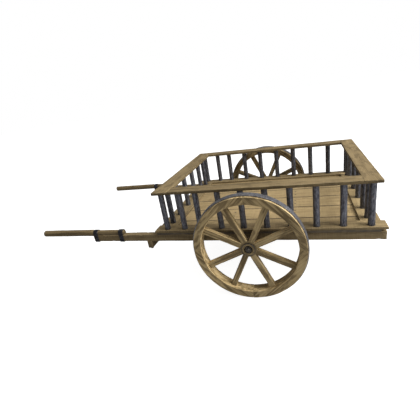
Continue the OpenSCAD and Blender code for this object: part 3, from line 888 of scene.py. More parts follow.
@dataclass(frozen=True)
class Finish:
    """What every finish shares: its name, the record's material slot and where its pattern lies.

    Attributes:
        name: The material's name.
        slot: The record's material slot; not used.
        bump: Depth of the bumps, in metres.
        follows: Whether the pattern follows the "grain" attribute, or else Object coordinates.
    """

    name: str
    slot: str
    bump: float = 0.6 * MM
    follows: bool = True

    def material(self) -> bpy.types.Material:
        """The material, made at its first use."""
        found = bpy.data.materials.get(self.name)
        if found:
            return found
        made = bpy.data.materials.new(self.name)
        made.use_nodes = True
        made.node_tree.nodes.clear()
        g = Graph(made.node_tree)
        shader = g.node("BsdfPrincipled")
        output = g.node("OutputMaterial")
        made.node_tree.links.new(shader.outputs[0], output.inputs[0])
        self.paint(g, shader, *self.sources(g))
        return made

    def sources(self, g: Graph) -> tuple[Socket, Value, Value]:
        """The pattern's place, the wear and painted shade, and the piece's tone, as sockets."""
        if not self.follows:
            return g.node("TexCoord").outputs["Object"], (0, 0, 0), 0.5
        names = ("grain", "wear", "tone")
        grain, wear, tone = (g.node("Attribute", attribute_name=name).outputs for name in names)
        return grain["Vector"], wear["Vector"], tone["Fac"]

    def bumped(self, g: Graph, shader: bpy.types.Node, height: Socket) -> None:
        """Feeds a height to the shader's normal through a Bump node."""
        made = g.node("Bump")
        made.inputs["Strength"].default_value = 1.0
        made.inputs["Distance"].default_value = self.bump
        g.feed(made.inputs["Height"], height)
        g.feed(shader.inputs["Normal"], made.outputs[0])

    def paint(
        self, g: Graph, shader: bpy.types.Node, grain: Socket, wear: Value, tone: Value
    ) -> None:
        """Adds the finish's own nodes and feeds the shader.

        Args:
            g: The material's graph.
            shader: Its Principled BSDF.
            grain: The pattern's place.
            wear: Edge, share painted as lit, and stain.
            tone: The piece's own lightness.
        """
        raise NotImplementedError


@dataclass(frozen=True)
class Wood(Finish):
    """Bare weathered timber, with painted shade on the faces that turn from the light.

    Attributes:
        dark: Colour of the darkest streaks.
        middle: Colour of most of the wood.
        light: Colour of the palest streaks.
        ring_gap: Distance between growth rings, in metres.
        rings: How dark the late wood of a ring is.
        streaks: Strength of streaks and patches.
        saw_marks: Strength of the marks across the grain.
        cracks: Strength of the drying cracks.
        blotches: How dark the damp blotches are.
        tone_spread: How much pieces differ in lightness.
        shade: How much darker the faces that turn from the light are painted: painted shade.
        edge_paleness: How pale the worn edges are.
        stain_depth: How black the stains round iron are.
    """

    dark: Colour = (0.15, 0.106, 0.05)
    middle: Colour = (0.27, 0.198, 0.1)
    light: Colour = (0.36, 0.275, 0.148)
    ring_gap: float = 0.009
    rings: float = 0.22
    streaks: float = 0.8
    saw_marks: float = 0.35
    cracks: float = 0.6
    blotches: float = 0.35
    tone_spread: float = 0.22
    shade: float = 0.0
    edge_paleness: float = 0.35
    stain_depth: float = 0.7

    def paint(
        self, g: Graph, shader: bpy.types.Node, grain: Socket, wear: Value, tone: Value
    ) -> None:
        """Grain first, then weathering and painted shade over it."""
        wood = WoodGrain.placed(g, self, grain=grain)
        aged = Weathering.placed(g, self, color=wood["Color"], grain=grain, wear=wear, tone=tone)
        g.feed(shader.inputs["Base Color"], aged["Color"])
        g.feed(shader.inputs["Roughness"], g.math("ADD", wood["Roughness"], aged["Dull"]))
        shader.inputs["Specular IOR Level"].default_value = 0.2
        self.bumped(g, shader, wood["Height"])


@dataclass(frozen=True)
class Iron(Finish):
    """Forged iron with its scale on.

    Attributes:
        dark: Colour of the dark scale.
        light: Colour of the light scale.
        bright: Colour of rubbed edges.
        rust: Strength of the rust.
        hammer_size: Size of a hammer mark, in metres.
    """

    dark: Colour = (0.022, 0.023, 0.029)
    light: Colour = (0.115, 0.12, 0.14)
    bright: Colour = (0.26, 0.265, 0.29)
    rust: float = 0.3
    hammer_size: float = 0.02

    def paint(
        self, g: Graph, shader: bpy.types.Node, grain: Socket, wear: Value, tone: Value
    ) -> None:
        """The iron skin feeds the shader straight."""
        skin = IronSkin.placed(g, self, grain=grain, wear=wear, tone=tone)
        g.feed(shader.inputs["Base Color"], skin["Color"])
        g.feed(shader.inputs["Roughness"], skin["Roughness"])
        g.feed(shader.inputs["Metallic"], skin["Metal"])
        self.bumped(g, shader, skin["Height"])


# Deck, rail and board wood are copies of one wood in different lightness: the deck wood is painted lighter to make
# up for the shade that rails and posts cast on the floor, and the rail and board wood darker because they stand in
# full light. Each wood's shade sets its painted shade.
DECK_WOOD = Wood(
    "Deck wood", "deck_wood", dark=(0.2, 0.142, 0.065), middle=(0.37, 0.27, 0.135),
    light=(0.46, 0.35, 0.185), saw_marks=0.7, rings=0.1, streaks=0.55, stain_depth=0.9,
)
RAIL_WOOD = Wood(
    "Rail wood", "deck_wood", dark=(0.1, 0.071, 0.033), middle=(0.215, 0.156, 0.076),
    light=(0.3, 0.226, 0.117), saw_marks=0.45, shade=0.35, blotches=0.6,
)
BOARD_WOOD = Wood(
    "Board wood", "deck_wood", dark=(0.13, 0.092, 0.043), middle=(0.26, 0.19, 0.094),
    light=(0.35, 0.265, 0.138), saw_marks=0.7, shade=0.38, blotches=0.5,
)
SILL_WOOD = Wood("Sill wood", "frame_wood", shade=0.4, streaks=0.9, saw_marks=0.8)
POLE_WOOD = Wood(
    "Pole wood", "frame_wood", dark=(0.09, 0.063, 0.03), middle=(0.19, 0.138, 0.068),
    light=(0.28, 0.21, 0.11), shade=0.2, ring_gap=0.005, cracks=0.9,
)
# Wheel wood is painted lighter, and its shade paints its faces darker, so that the inner rim and the spokes' sides
# look lit: painted light and painted shade.
WHEEL_WOOD = Wood(
    "Wheel wood", "frame_wood", dark=(0.25, 0.178, 0.085), middle=(0.6, 0.445, 0.222),
    light=(0.72, 0.56, 0.305), shade=0.5, ring_gap=0.024, rings=0.28, streaks=1.3, saw_marks=0.2,
    blotches=0.85,
)
NAVE_WOOD = Wood(
    "Nave wood", "frame_wood", dark=(0.11, 0.078, 0.036), middle=(0.25, 0.182, 0.09),
    ring_gap=0.007, rings=0.45, streaks=1.0, saw_marks=0.1, cracks=0.9,
)
INNER_WOOD = Wood(
    "Inner wood", "inner_wood", dark=(0.1, 0.068, 0.032), middle=(0.2, 0.142, 0.07),
    light=(0.27, 0.2, 0.105), shade=0.2,
)
PEG_WOOD = Wood(
    "Peg wood", "inner_wood", follows=False, dark=(0.1, 0.068, 0.032), middle=(0.19, 0.13, 0.065),
)
POST_IRON = Iron("Post iron", "black_iron", dark=(0.036, 0.037, 0.047), light=(0.22, 0.225, 0.255))
BAND_IRON = Iron(
    "Band iron", "black_iron", dark=(0.016, 0.016, 0.02), light=(0.08, 0.082, 0.094), bump=1.2 * MM,
)
HOOP_IRON = Iron(
    "Hoop iron", "black_iron", dark=(0.03, 0.026, 0.022), light=(0.13, 0.115, 0.1), rust=0.85,
)
NAIL_IRON = Iron("Nail iron", "black_iron", rust=0.8, hammer_size=0.004, bump=0.2 * MM)
FITTING_IRON = Iron("Fitting iron", "black_iron", follows=False, rust=0.6, hammer_size=0.012)
TYRE_IRON = Iron(
    "Tyre iron", "tyre_iron", dark=(0.12, 0.122, 0.136), light=(0.3, 0.3, 0.325),
    bright=(0.45, 0.45, 0.48), rust=0.25, hammer_size=0.03, bump=0.4 * MM,
)


# ---- The cart ----


class Side(Enum):
    """The cart's two sides, with the sign of their Y."""

    LEFT = 1
    RIGHT = -1

    @property
    def word(self) -> str:
        """The side's name in the names of nodes."""
        return self.name.lower()


@dataclass
class Assembly:
    """Pieces that ride on one body.

    Attributes:
        maker: Shapes the pieces.
        body: The CAD body that they ride on.
    """

    maker: Maker
    body: str = "cart"

    def piece(self, surface: Surface, finish: Finish, *nodes: str) -> bpy.types.Object:
        """Builds a piece that stands for CAD nodes, and dresses it.

        Args:
            surface: Its surface.
            finish: Its finish.
            *nodes: The CAD nodes that it stands for; the first names it.

        Returns:
            The finished object.
        """
        made = surface.built(nodes[0] + "_made", rolls=self.body != "cart")
        made.data.materials.append(finish.material())
        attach(made, self.body)
        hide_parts(*nodes)
        faces = len(made.data.polygons)
        LOG.info("%s: %d faces, %s, on %s", made.name, faces, finish.name, self.body)
        return made

    def dressed(self, finish: Finish, *nodes: str) -> None:
        """Gives CAD nodes that keep their shape a finish."""
        for node in nodes:
            slots = frame["nodes"][node].data.materials
            slots.clear()
            slots.append(finish.material())
            LOG.info("%s: kept, %s", node, finish.name)


def middle_of(node: str) -> list[float]:
    """X, Y and Z of the middle of a node's box."""
    return [(low + high) / 2 for low, high in zip(*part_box(node))]


@dataclass
class Stakes(Assembly):
    """Iron posts on all four sides, and the flat rail that they carry.

    Attributes:
        side_bays: The first two post spacings on a side; the others are equal.
        side_count: Posts in a side row.
        end_bay: The spacing between the first two posts of an end row.
        sunk: How far a post's ends go into the wood.
        waist: How much a post's radius swings between its ends and its middle.
        bow: How far a post bows at most.
        lap_gap: Length of the shoulder where a rail is halved.
        nail_inset: Distance of the rail nails from the rail's inner edge.
    """

    side_bays: tuple[float, float] = (162 * MM, 142 * MM)
    side_count: int = 10
    end_bay: float = 188 * MM
    sunk: float = 1.5 * MM
    waist: float = 0.25 * MM
    bow: float = 0.7 * MM
    lap_gap: float = 0.4 * MM
    nail_inset: float = 18 * MM

    @property
    def radius(self) -> float:
        """Radius of a post."""
        low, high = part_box("posts_left")
        return (high.y - low.y) / 2

    def side_places(self, side: Side) -> np.ndarray:
        """X and Y of a side row's posts, from the front to the tail."""
        low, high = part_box(f"posts_{side.word}")
        front, tail = high.x - self.radius, low.x + self.radius
        third = front - sum(self.side_bays)
        equal = np.linspace(third, tail, self.side_count - 2)
        places = np.concatenate([[front, front - self.side_bays[0]], equal])
        return np.stack([places, np.full_like(places, (low.y + high.y) / 2)], axis=-1)

    def end_places(self, node: str) -> np.ndarray:
        """X and Y of an end row's posts, from the left to the right."""
        low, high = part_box(node)
        outer = high.y - self.radius
        inner = outer - self.end_bay
        places = np.array([outer, inner, inner / 3, -inner / 3, -inner, -outer])
        return np.stack([np.full_like(places, (low.x + high.x) / 2), places], axis=-1)

    def rows(self) -> dict[str, np.ndarray]:
        """X and Y of the posts in each row, by the row's node."""
        sides = {f"posts_{side.word}": self.side_places(side) for side in Side}
        return sides | {node: self.end_places(node) for node in ("posts_front", "posts_rear")}

    def irons(self) -> np.ndarray:
        """X, Y and radius of every post."""
        places = np.concatenate(list(self.rows().values()))
        return np.concatenate([places, np.full((len(places), 1), self.radius)], axis=1)

    def post(self, place: np.ndarray, foot: float, top: float) -> Surface:
        """A forged round bar: a little out of round, with a slow bow of under a millimetre."""
        height = top - foot
        rows = np.linspace(0, height, 24)
        swell = self.radius - self.waist + self.waist * np.cos(FULL_TURN * rows / height)
        made = self.maker.turned(
            list(zip(rows, swell)), Axis.Z, (*place, foot), around=28, uneven=1.1 * MM, corner=0,
            wavelength=0.045,
        )
        lean = self.bow * self.maker.wander(np.array([0.0]), 1.0, 2)[0].clip(-1, 1)
        made.points[:, :2] += np.sin(math.pi * (made.points[:, 2:] - foot) / height) * lean
        return made

    def make_posts(self) -> None:
        """The four rows of posts."""
        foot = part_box("side_board_left")[1].z - self.sunk
        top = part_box("rail_left")[0].z + self.sunk
        for node, places in self.rows().items():
            posts = [self.post(place, foot, top) for place in places]
            self.piece(Surface.joined(posts), POST_IRON, node)

    def make_rail(self, node: str, stations: Sequence[Sequence[float]], axis: Axis) -> None:
        """One rail from its stations."""
        rail = self.maker.timber(
            np.array(stations), axis, corner=2.2 * MM, uneven=0.9 * MM, step=10 * MM
        )
        self.piece(rail, RAIL_WOOD, node)

    def make_rails(self) -> None:
        """Side rails halved from above at their ends, and end rails halved from below over them."""
        front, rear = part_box("rail_front_end"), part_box("rail_rear_end")
        for side in Side:
            low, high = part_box(f"rail_{side.word}")
            lap = (low.z + high.z) / 2
            tops = [
                (low.x, lap), (rear[1].x, lap), (rear[1].x + self.lap_gap, high.z),
                (front[0].x - self.lap_gap, high.z), (front[0].x, lap), (high.x, lap),
            ]
            stations = [[x, low.y, high.y, low.z, top] for x, top in tops]
            self.make_rail(f"rail_{side.word}", stations, Axis.X)
        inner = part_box("rail_left")[0].y
        for node, (low, high) in (("rail_front_end", front), ("rail_rear_end", rear)):
            lap = (low.z + high.z) / 2
            bottoms = [
                (low.y, lap), (-inner, lap), (-inner + self.lap_gap, low.z),
                (inner - self.lap_gap, low.z), (inner, lap), (high.y, lap),
            ]
            stations = [[y, bottom, high.z, low.x, high.x] for y, bottom in bottoms]
            self.make_rail(node, stations, Axis.Y)

    def make_nails(self) -> None:
        """Two nails through each corner lap."""
        low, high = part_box("rail_left")
        y = low.y + self.nail_inset
        heads = []
        for end in ("rail_front_end", "rail_rear_end"):
            near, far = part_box(end)
            for share in (0.25, 0.75):
                for side in Side:
                    place = (near.x + share * (far.x - near.x), side.value * y, high.z)
                    heads.append(self.maker.nail_head(place))
        self.piece(Surface.joined(heads), NAIL_IRON, "rail_nails")

    def make(self) -> None:
        """All of the stakes."""
        self.make_posts()
        self.make_rails()
        self.make_nails()


@dataclass
class Deck(Assembly):
    """Six floor planks inside a frame of side and end boards.

    Attributes:
        irons: X, Y and radius of every post.
        planks: How many floor planks.
        nail_spread: Distance between the two nails in a plank.
        nail_radius: Radius of a nail, as its stain sees it.
        nail_stain: How far a nail's stain spreads.
        post_stain: How far a post's stain spreads.
        seam_dirt: How far the dirt of a seam spreads.
    """

    irons: np.ndarray = field(default_factory=lambda: np.zeros((0, 3)))
    planks: int = 6
    nail_spread: float = 80 * MM
    nail_radius: float = 4 * MM
    nail_stain: float = 9 * MM
    post_stain: float = 6 * MM
    seam_dirt: float = 8 * MM

    def nail_places(self) -> np.ndarray:
        """X, Y and radius of every floor nail: two in each plank over the two middle joists."""
        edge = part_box("side_board_left")[1].y
        pitch = 2 * edge / self.planks
        planks = [(i + 0.5) * pitch - edge for i in range(self.planks)]
        ys = [y + k * self.nail_spread / 2 for y in planks for k in (-1, 1)]
        xs = [middle_of(node)[0] for node in ("joist_2", "joist_3")]
        return np.array([(x, y, self.nail_radius) for x in xs for y in ys])

    def make(self) -> None:
        """Planks, their nails, and the boards."""
        nails = self.nail_places()
        for i in range(self.planks):
            node = f"floor_plank_{i + 1}"
            plank = self.maker.box_timber(
                *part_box(node), Axis.X, corner=2.4 * MM, uneven=1.1 * MM, step=12 * MM, chips=1.3
            )
            plank.stained(nails, self.nail_stain).seamed(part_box(node), self.seam_dirt)
            self.piece(plank, DECK_WOOD, node)
        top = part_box("floor_plank_1")[1].z
        heads = [self.maker.nail_head((x, y, top)) for x, y, _ in nails]
        self.piece(Surface.joined(heads), NAIL_IRON, "floor_nails")
        boards = {f"side_board_{side.word}": Axis.X for side in Side}
        boards |= {"end_board_front": Axis.Y, "end_board_rear": Axis.Y}
        for node, axis in boards.items():
            board = self.maker.box_timber(
                *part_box(node), axis, corner=2.6 * MM, uneven=0.9 * MM, step=9 * MM
            )
            self.piece(board.stained(self.irons, self.post_stain), BOARD_WOOD, node)


@dataclass
class Underframe(Assembly):
    """Sills, beams and joists, and the iron that holds the axle bed.

    Attributes:
        joists: How many joists.
        plate_len: Length of an axle plate, across the cart.
        screw_reach: Distance of the bed's screws from the axle's middle line.
        screw_head: Half the width of a square screw head.
        head_t: Thickness of a screw head.
        shank: Radius of a screw where it leaves its head.
    """

    joists: int = 4
    plate_len: float = 40 * MM
    screw_reach: float = 34 * MM
    screw_head: float = 9.5 * MM
    head_t: float = 9 * MM
    shank: float = 6 * MM

    def make(self) -> None:
        """All timbers, then the irons under them."""
        self.make_timbers()
        self.make_plates()
        self.dressed(FITTING_IRON, "beam_washers")
        self.make_screws()
        self.dressed(PEG_WOOD, "tail_pegs")

    def make_timbers(self) -> None:
        """Sills up to the tail beam, beams, and joists between the sills."""
        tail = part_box("tail_beam")[1].x
        for side in Side:
            node = f"sill_{side.word}"
            low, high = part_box(node)
            sill = self.maker.box_timber(
                Vector((tail, low.y, low.z)), high, Axis.X, corner=3.5 * MM, uneven=1.3 * MM,
                step=13 * MM,
            )
            self.piece(sill, SILL_WOOD, node)
        for node in ("front_cross_beam", "tail_beam", "axle_bed"):
            beam = self.maker.box_timber(
                *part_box(node), Axis.Y, corner=3.5 * MM, uneven=1.2 * MM, step=14 * MM
            )
            self.piece(beam, SILL_WOOD, node)
        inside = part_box("sill_left")[0].y
        for node in (f"joist_{i + 1}" for i in range(self.joists)):
            low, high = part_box(node)
            joist = self.maker.box_timber(
                Vector((low.x, -inside, low.z)), Vector((high.x, inside, high.z)), Axis.Y,
                corner=3 * MM, uneven=1.2 * MM, step=16 * MM,
            )
            self.piece(joist, INNER_WOOD, node)

    def make_plates(self) -> None:
        """The two plates under the axle bed."""
        low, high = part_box("axle_plates")
        plates = []
        for side in Side:
            near, far = sorted((side.value * high.y, side.value * (high.y - self.plate_len)))
            plates.append(self.maker.box_timber(
                Vector((low.x, near, low.z)), Vector((high.x, far, high.z)), Axis.X,
                corner=1.2 * MM, uneven=0.4 * MM, step=10 * MM, log=IRON_STOCK,
            ))
        self.piece(Surface.joined(plates), BAND_IRON, "axle_plates")

    def make_screws(self) -> None:
        """The coach screws' square heads, four under the axle bed and two under the front beam."""
        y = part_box("axle_plates")[1].y - self.plate_len / 2
        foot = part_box("coach_screws")[0].z
        axle_x, beam_x = middle_of("axle_bed")[0], middle_of("front_cross_beam")[0]
        corner = self.screw_head * math.sqrt(2)
        profile = [(0, 0.5 * corner), (0, corner), (self.head_t, corner), (self.head_t, self.shank)]
        rows = (axle_x - self.screw_reach, axle_x + self.screw_reach, beam_x)
        heads = [
            self.maker.turned(profile, Axis.Z, (x, side.value * y, foot), around=32, sides=4)
            for x in rows for side in Side
        ]
        self.piece(Surface.joined(heads), BAND_IRON, "coach_screws")


@dataclass
class Shafts(Assembly):
    """Round poles in grooves on the sills, each held by two iron bands.

    Attributes:
        end_round: Rounding of a pole's ends.
        band_t: Thickness of a band's iron.
        band_gap: Clearance of a band on the pole.
        bend: Radius of a band's lower corners, at the middle of the iron.
        rows: How many points lie along a pole between its ends.
        heart: The log's heart, off the pole's middle.
        dent: How deep a band's outer face sinks.
        rounding: Rounding of a band's edges.
        rivet_at: A rivet's place in a band's straight side, as a share from its foot.
    """

    end_round: float = 9 * MM
    band_t: float = 5 * MM
    band_gap: float = 0.2 * MM
    bend: float = 6 * MM
    rows: int = 96
    heart: tuple[float, float] = (8 * MM, 11 * MM)
    dent: float = 0.45 * MM
    rounding: float = 1.6 * MM
    rivet_at: float = 0.45

    def pole(self, side: Side) -> Surface:
        """A dressed pole: thin on the sill, thicker at the grip, with quarter-circle ends."""
        low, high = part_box(f"shaft_pole_{side.word}")
        mounts = frame["record"]["mounts"]
        grip = next(m for m in mounts if m["name"] == f"shaft_grip_{side.word}")
        band_low, band_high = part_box(f"shaft_band_front_{side.word}")
        seat_r = (band_high.y - band_low.y) / 2 - self.band_t - self.band_gap
        grip_r = grip["dims"]["r_mm"] * MM
        length = high.x - low.x
        step_at = grip["pos_m"][0] - grip["dims"]["length_mm"] * MM / 2 - low.x
        turn = np.linspace(0, math.pi / 2, 6)
        rise, sink = self.end_round * (1 - np.cos(turn)), self.end_round * (1 - np.sin(turn))
        inner = np.linspace(0.02, length - 0.02, self.rows)
        rows = np.concatenate([rise, inner, length - rise[::-1]])
        trim = np.concatenate([sink, np.zeros(self.rows), sink[::-1]])
        radius = np.where(rows < step_at, seat_r, grip_r) - trim
        foot = (low.x, *middle_of(f"shaft_pole_{side.word}")[1:])
        return self.maker.turned(
            list(zip(rows, radius)), Axis.X, foot, around=40, uneven=1.2 * MM, corner=0,
            wavelength=0.12, log=np.array([self.maker.rng.uniform(0, 40), *self.heart]),
        )

    def loop(self, low: Vector, high: Vector) -> tuple[np.ndarray, np.ndarray]:
        """A band's path, a stadium with a flat foot, seen along the cart.

        The path is a half circle over the pole and two small quarter circles under the sill, joined
        by straight lines.

        Args:
            low: The band's lowest corner.
            high: Its highest corner.

        Returns:
            Y and Z of the path's points, and the way out at each.
        """
        middle, inset, bend = (low.y + high.y) / 2, self.band_t / 2, self.bend
        reach = (high.y - low.y) / 2 - inset
        foot, spring = low.z + inset, high.z - (high.y - low.y) / 2
        arcs = [
            ((middle, spring), reach, 0, 180, 25),
            ((middle - reach + bend, foot + bend), bend, 180, 270, 7),
            ((middle + reach - bend, foot + bend), bend, 270, 360, 7),
        ]
        path, normal = [], []
        for centre, radius, start, end, count in arcs:
            angle = np.radians(np.linspace(start, end, count))
            way = np.stack([np.cos(angle), np.sin(angle)], axis=-1)
            path.append(np.array(centre) + radius * way)
            normal.append(way)
        line, out = [], []
        for arc, way, after in zip(path, normal, path[1:] + path[:1]):
            a, b = arc[-1], after[0]
            t = np.linspace(0, 1, max(3, round(np.linalg.norm(b - a) / 0.008)))[1:-1, None]
            line += [arc, (1 - t) * a + t * b]
            out += [way, np.repeat(way[-1:], len(t), axis=0)]
        return np.concatenate(line), np.concatenate(out)

    def band(self, node: str) -> Surface:
        """A closed iron loop of rounded rectangular section, with a rivet in its outer side.

        A point is path + normal * thickness, moved along X by its place in the width.

        Args:
            node: The band's CAD node.

        Returns:
            The surface in the frame's axes.
        """
        low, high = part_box(node)
        middle_x, middle_y, _ = middle_of(node)
        line, out = self.loop(low, high)
        half = np.array([(high.x - low.x) / 2, self.band_t / 2])
        core, way, _ = self.maker.outline(tuple(half), 6 * MM)
        section = core * (half - self.rounding) + way * self.rounding
        x = middle_x + np.repeat(section[None, :, 0], len(line), axis=0)
        yz = line[:, None] + out[:, None] * section[None, :, 1:]
        rings = np.concatenate([x[..., None], yz], axis=-1)
        rings[..., 0] += 0.6 * MM * self.maker.wander(np.linspace(0, 0.4, len(line)), 0.2, 1)
        dent = self.maker.ripple(rings, 0.02).clip(-1, 1) * self.dent - self.dent
        rings[..., 1:] += out[:, None] * (dent * (section[None, :, 1] > 0))[..., None]
        edge = np.repeat(on_corner(way)[None], len(line), axis=0)
        loop = Surface.swept(rings, rings.copy(), edge, self.maker.tone(), looped=True)
        profile = [(-1, 6.5), (0.4, 6.5), (1.8, 5), (2.6, 2.4)]
        rivet = self.maker.turned(
            [(y * MM, r * MM) for y, r in profile], Axis.Y, (0, 0, 0), around=16, corner=0,
            wavelength=0.01,
        )
        outward = 1 if middle_y > 0 else -1
        foot, spring = low.z + self.band_t / 2, high.z - (high.y - low.y) / 2
        side = middle_y + outward * (high.y - low.y) / 2
        place = np.array([middle_x, side, foot + self.rivet_at * (spring - foot)])
        rivet.moved(lambda points: points * np.array([1, outward, 1]) + place)
        return Surface.joined([loop, rivet])

    def make(self) -> None:
        """Both poles and all four bands."""
        for side in Side:
            self.piece(self.pole(side), POLE_WOOD, f"shaft_pole_{side.word}")
            for end in ("front", "rear"):
                node = f"shaft_band_{end}_{side.word}"
                self.piece(self.band(node), BAND_IRON, node)


@dataclass
class Axle(Assembly):
    """The square axle bar with its round arms, and what keeps the wheels on.

    Attributes:
        bar: Half the width of the square bar.
        arm: Radius of the arms.
        stub: Radius of the threaded ends.
        collar: Radius of the collars and of the inner washers.
        collar_t: Width of a collar and of an inner washer.
        cover: Radius of the outer washers.
        cover_t: Width of an outer washer.
        nut_flats: Half the width across a nut's flats.
        slack: Clearance of washers and nuts on the axle.
        thread: Pitch of the thread.
        thread_depth: Depth of the thread.
        shoulder: Width of the slope where the bar's radius changes.
        pin_leg: Radius of a split pin's wire.
        pin_eye: Radius of its eye.
    """

    bar: float = 18 * MM
    arm: float = 17 * MM
    stub: float = 13 * MM
    collar: float = 30 * MM
    collar_t: float = 5 * MM
    cover: float = 29 * MM
    cover_t: float = 4 * MM
    nut_flats: float = 23 * MM
    slack: float = 0.2 * MM
    thread: float = 2.5 * MM
    thread_depth: float = 0.7 * MM
    shoulder: float = 0.01 * MM
    pin_leg: float = 1.25 * MM
    pin_eye: float = 3.6 * MM

    def end_profile(self, collar: float, arm_end: float, washer: float, tip: float) -> list:
        """Corners of (place, radius) along one end of the axle.

        Args:
            collar: Where its collar starts.
            arm_end: Where its arm ends.
            washer: Where its thread leaves the outer washer.
            tip: The axle's end.

        Returns:
            The corners, from the collar to the tip.
        """
        turns = np.arange(washer, tip - 2 * MM, self.thread / 2)
        crest = [(y, self.stub - (k % 2) * self.thread_depth) for k, y in enumerate(turns)]
        inner = collar + self.collar_t
        return [
            (collar, self.collar), (inner, self.collar), (inner + self.shoulder, self.arm),
            (arm_end, self.arm), (arm_end + self.shoulder, self.stub), *crest,
            (tip - 0.5 * MM, self.stub - 1.5 * MM),
        ]

    def make(self) -> None:
        """The bar and both its ends, then washers, nuts and pins."""
        x, z = middle_of("axle_bed")[0], middle_of("axle")[2]
        washer, outer_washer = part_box("inner_washers")[1].y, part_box("outer_washers")[1].y
        collar, arm_end = washer - 2 * self.collar_t, outer_washer - self.cover_t
        section = [z - self.bar, z + self.bar, x - self.bar, x + self.bar]
        parts = {"axle": [self.maker.timber(
            np.array([[y, *section] for y in (-collar, collar)]), Axis.Y, corner=1.6 * MM,
            step=14 * MM, log=IRON_STOCK,
        )]}
        profile = self.end_profile(collar, arm_end, outer_washer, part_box("axle")[1].y)
        nut_r, nut_end = self.nut_flats / math.cos(math.pi / 6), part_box("axle_nuts")[1].y
        pin_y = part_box("split_pins")[1].y - 2.5 * MM
        on_arm, on_stub = self.arm + self.slack, self.stub + self.slack
        ring, centre = self.maker.ring, (x, 0, z)
        for side in Side:
            made = {
                "axle": self.maker.turned(
                    profile, Axis.Y, centre, around=40, corner=0, uneven=0.2 * MM, log=IRON_STOCK
                ),
                "inner_washers": ring(
                    (washer - self.collar_t, washer), (on_arm, self.collar), centre, corner=1 * MM
                ),
                "outer_washers": ring(
                    (arm_end, outer_washer), (on_stub, self.cover), centre, corner=1 * MM
                ),
                "axle_nuts": ring(
                    (outer_washer, nut_end), (on_stub, nut_r), centre, corner=2.2 * MM, sides=6,
                    around=72,
                ),
            }
            flip = np.array([1, side.value, 1])
            for node, part in made.items():
                parts.setdefault(node, []).append(part.moved(lambda points: points * flip))
            pin = self.pin(np.array([x, side.value * pin_y, z]))
            parts.setdefault("split_pins", []).append(pin)
        for node, surfaces in parts.items():
            finish = BAND_IRON if node in ("inner_washers", "split_pins") else HOOP_IRON
            self.piece(Surface.joined(surfaces), finish, node)

    def pin(self, place: np.ndarray) -> Surface:
        """A split pin: two legs through the axle's end, an eye above, and the legs' ends apart."""
        turn = np.radians(np.linspace(-70, 250, 17))
        eye = [self.pin_eye * np.cos(turn), 17 * MM + self.pin_eye * np.sin(turn)]
        leg = [(9, -20), (5, -18.4), (2.2, -16), (1.25, -14), (1.25, 0), (1.25, 12.5)]
        right = np.array(leg) * MM
        line = np.concatenate([right, np.stack(eye, axis=-1), right[::-1] * np.array([-1, 1])])
        path = np.stack([line[:, 0], np.zeros(len(line)), line[:, 1]], axis=-1) + place
        return self.maker.rod(path, self.pin_leg * 0.95, around=10)


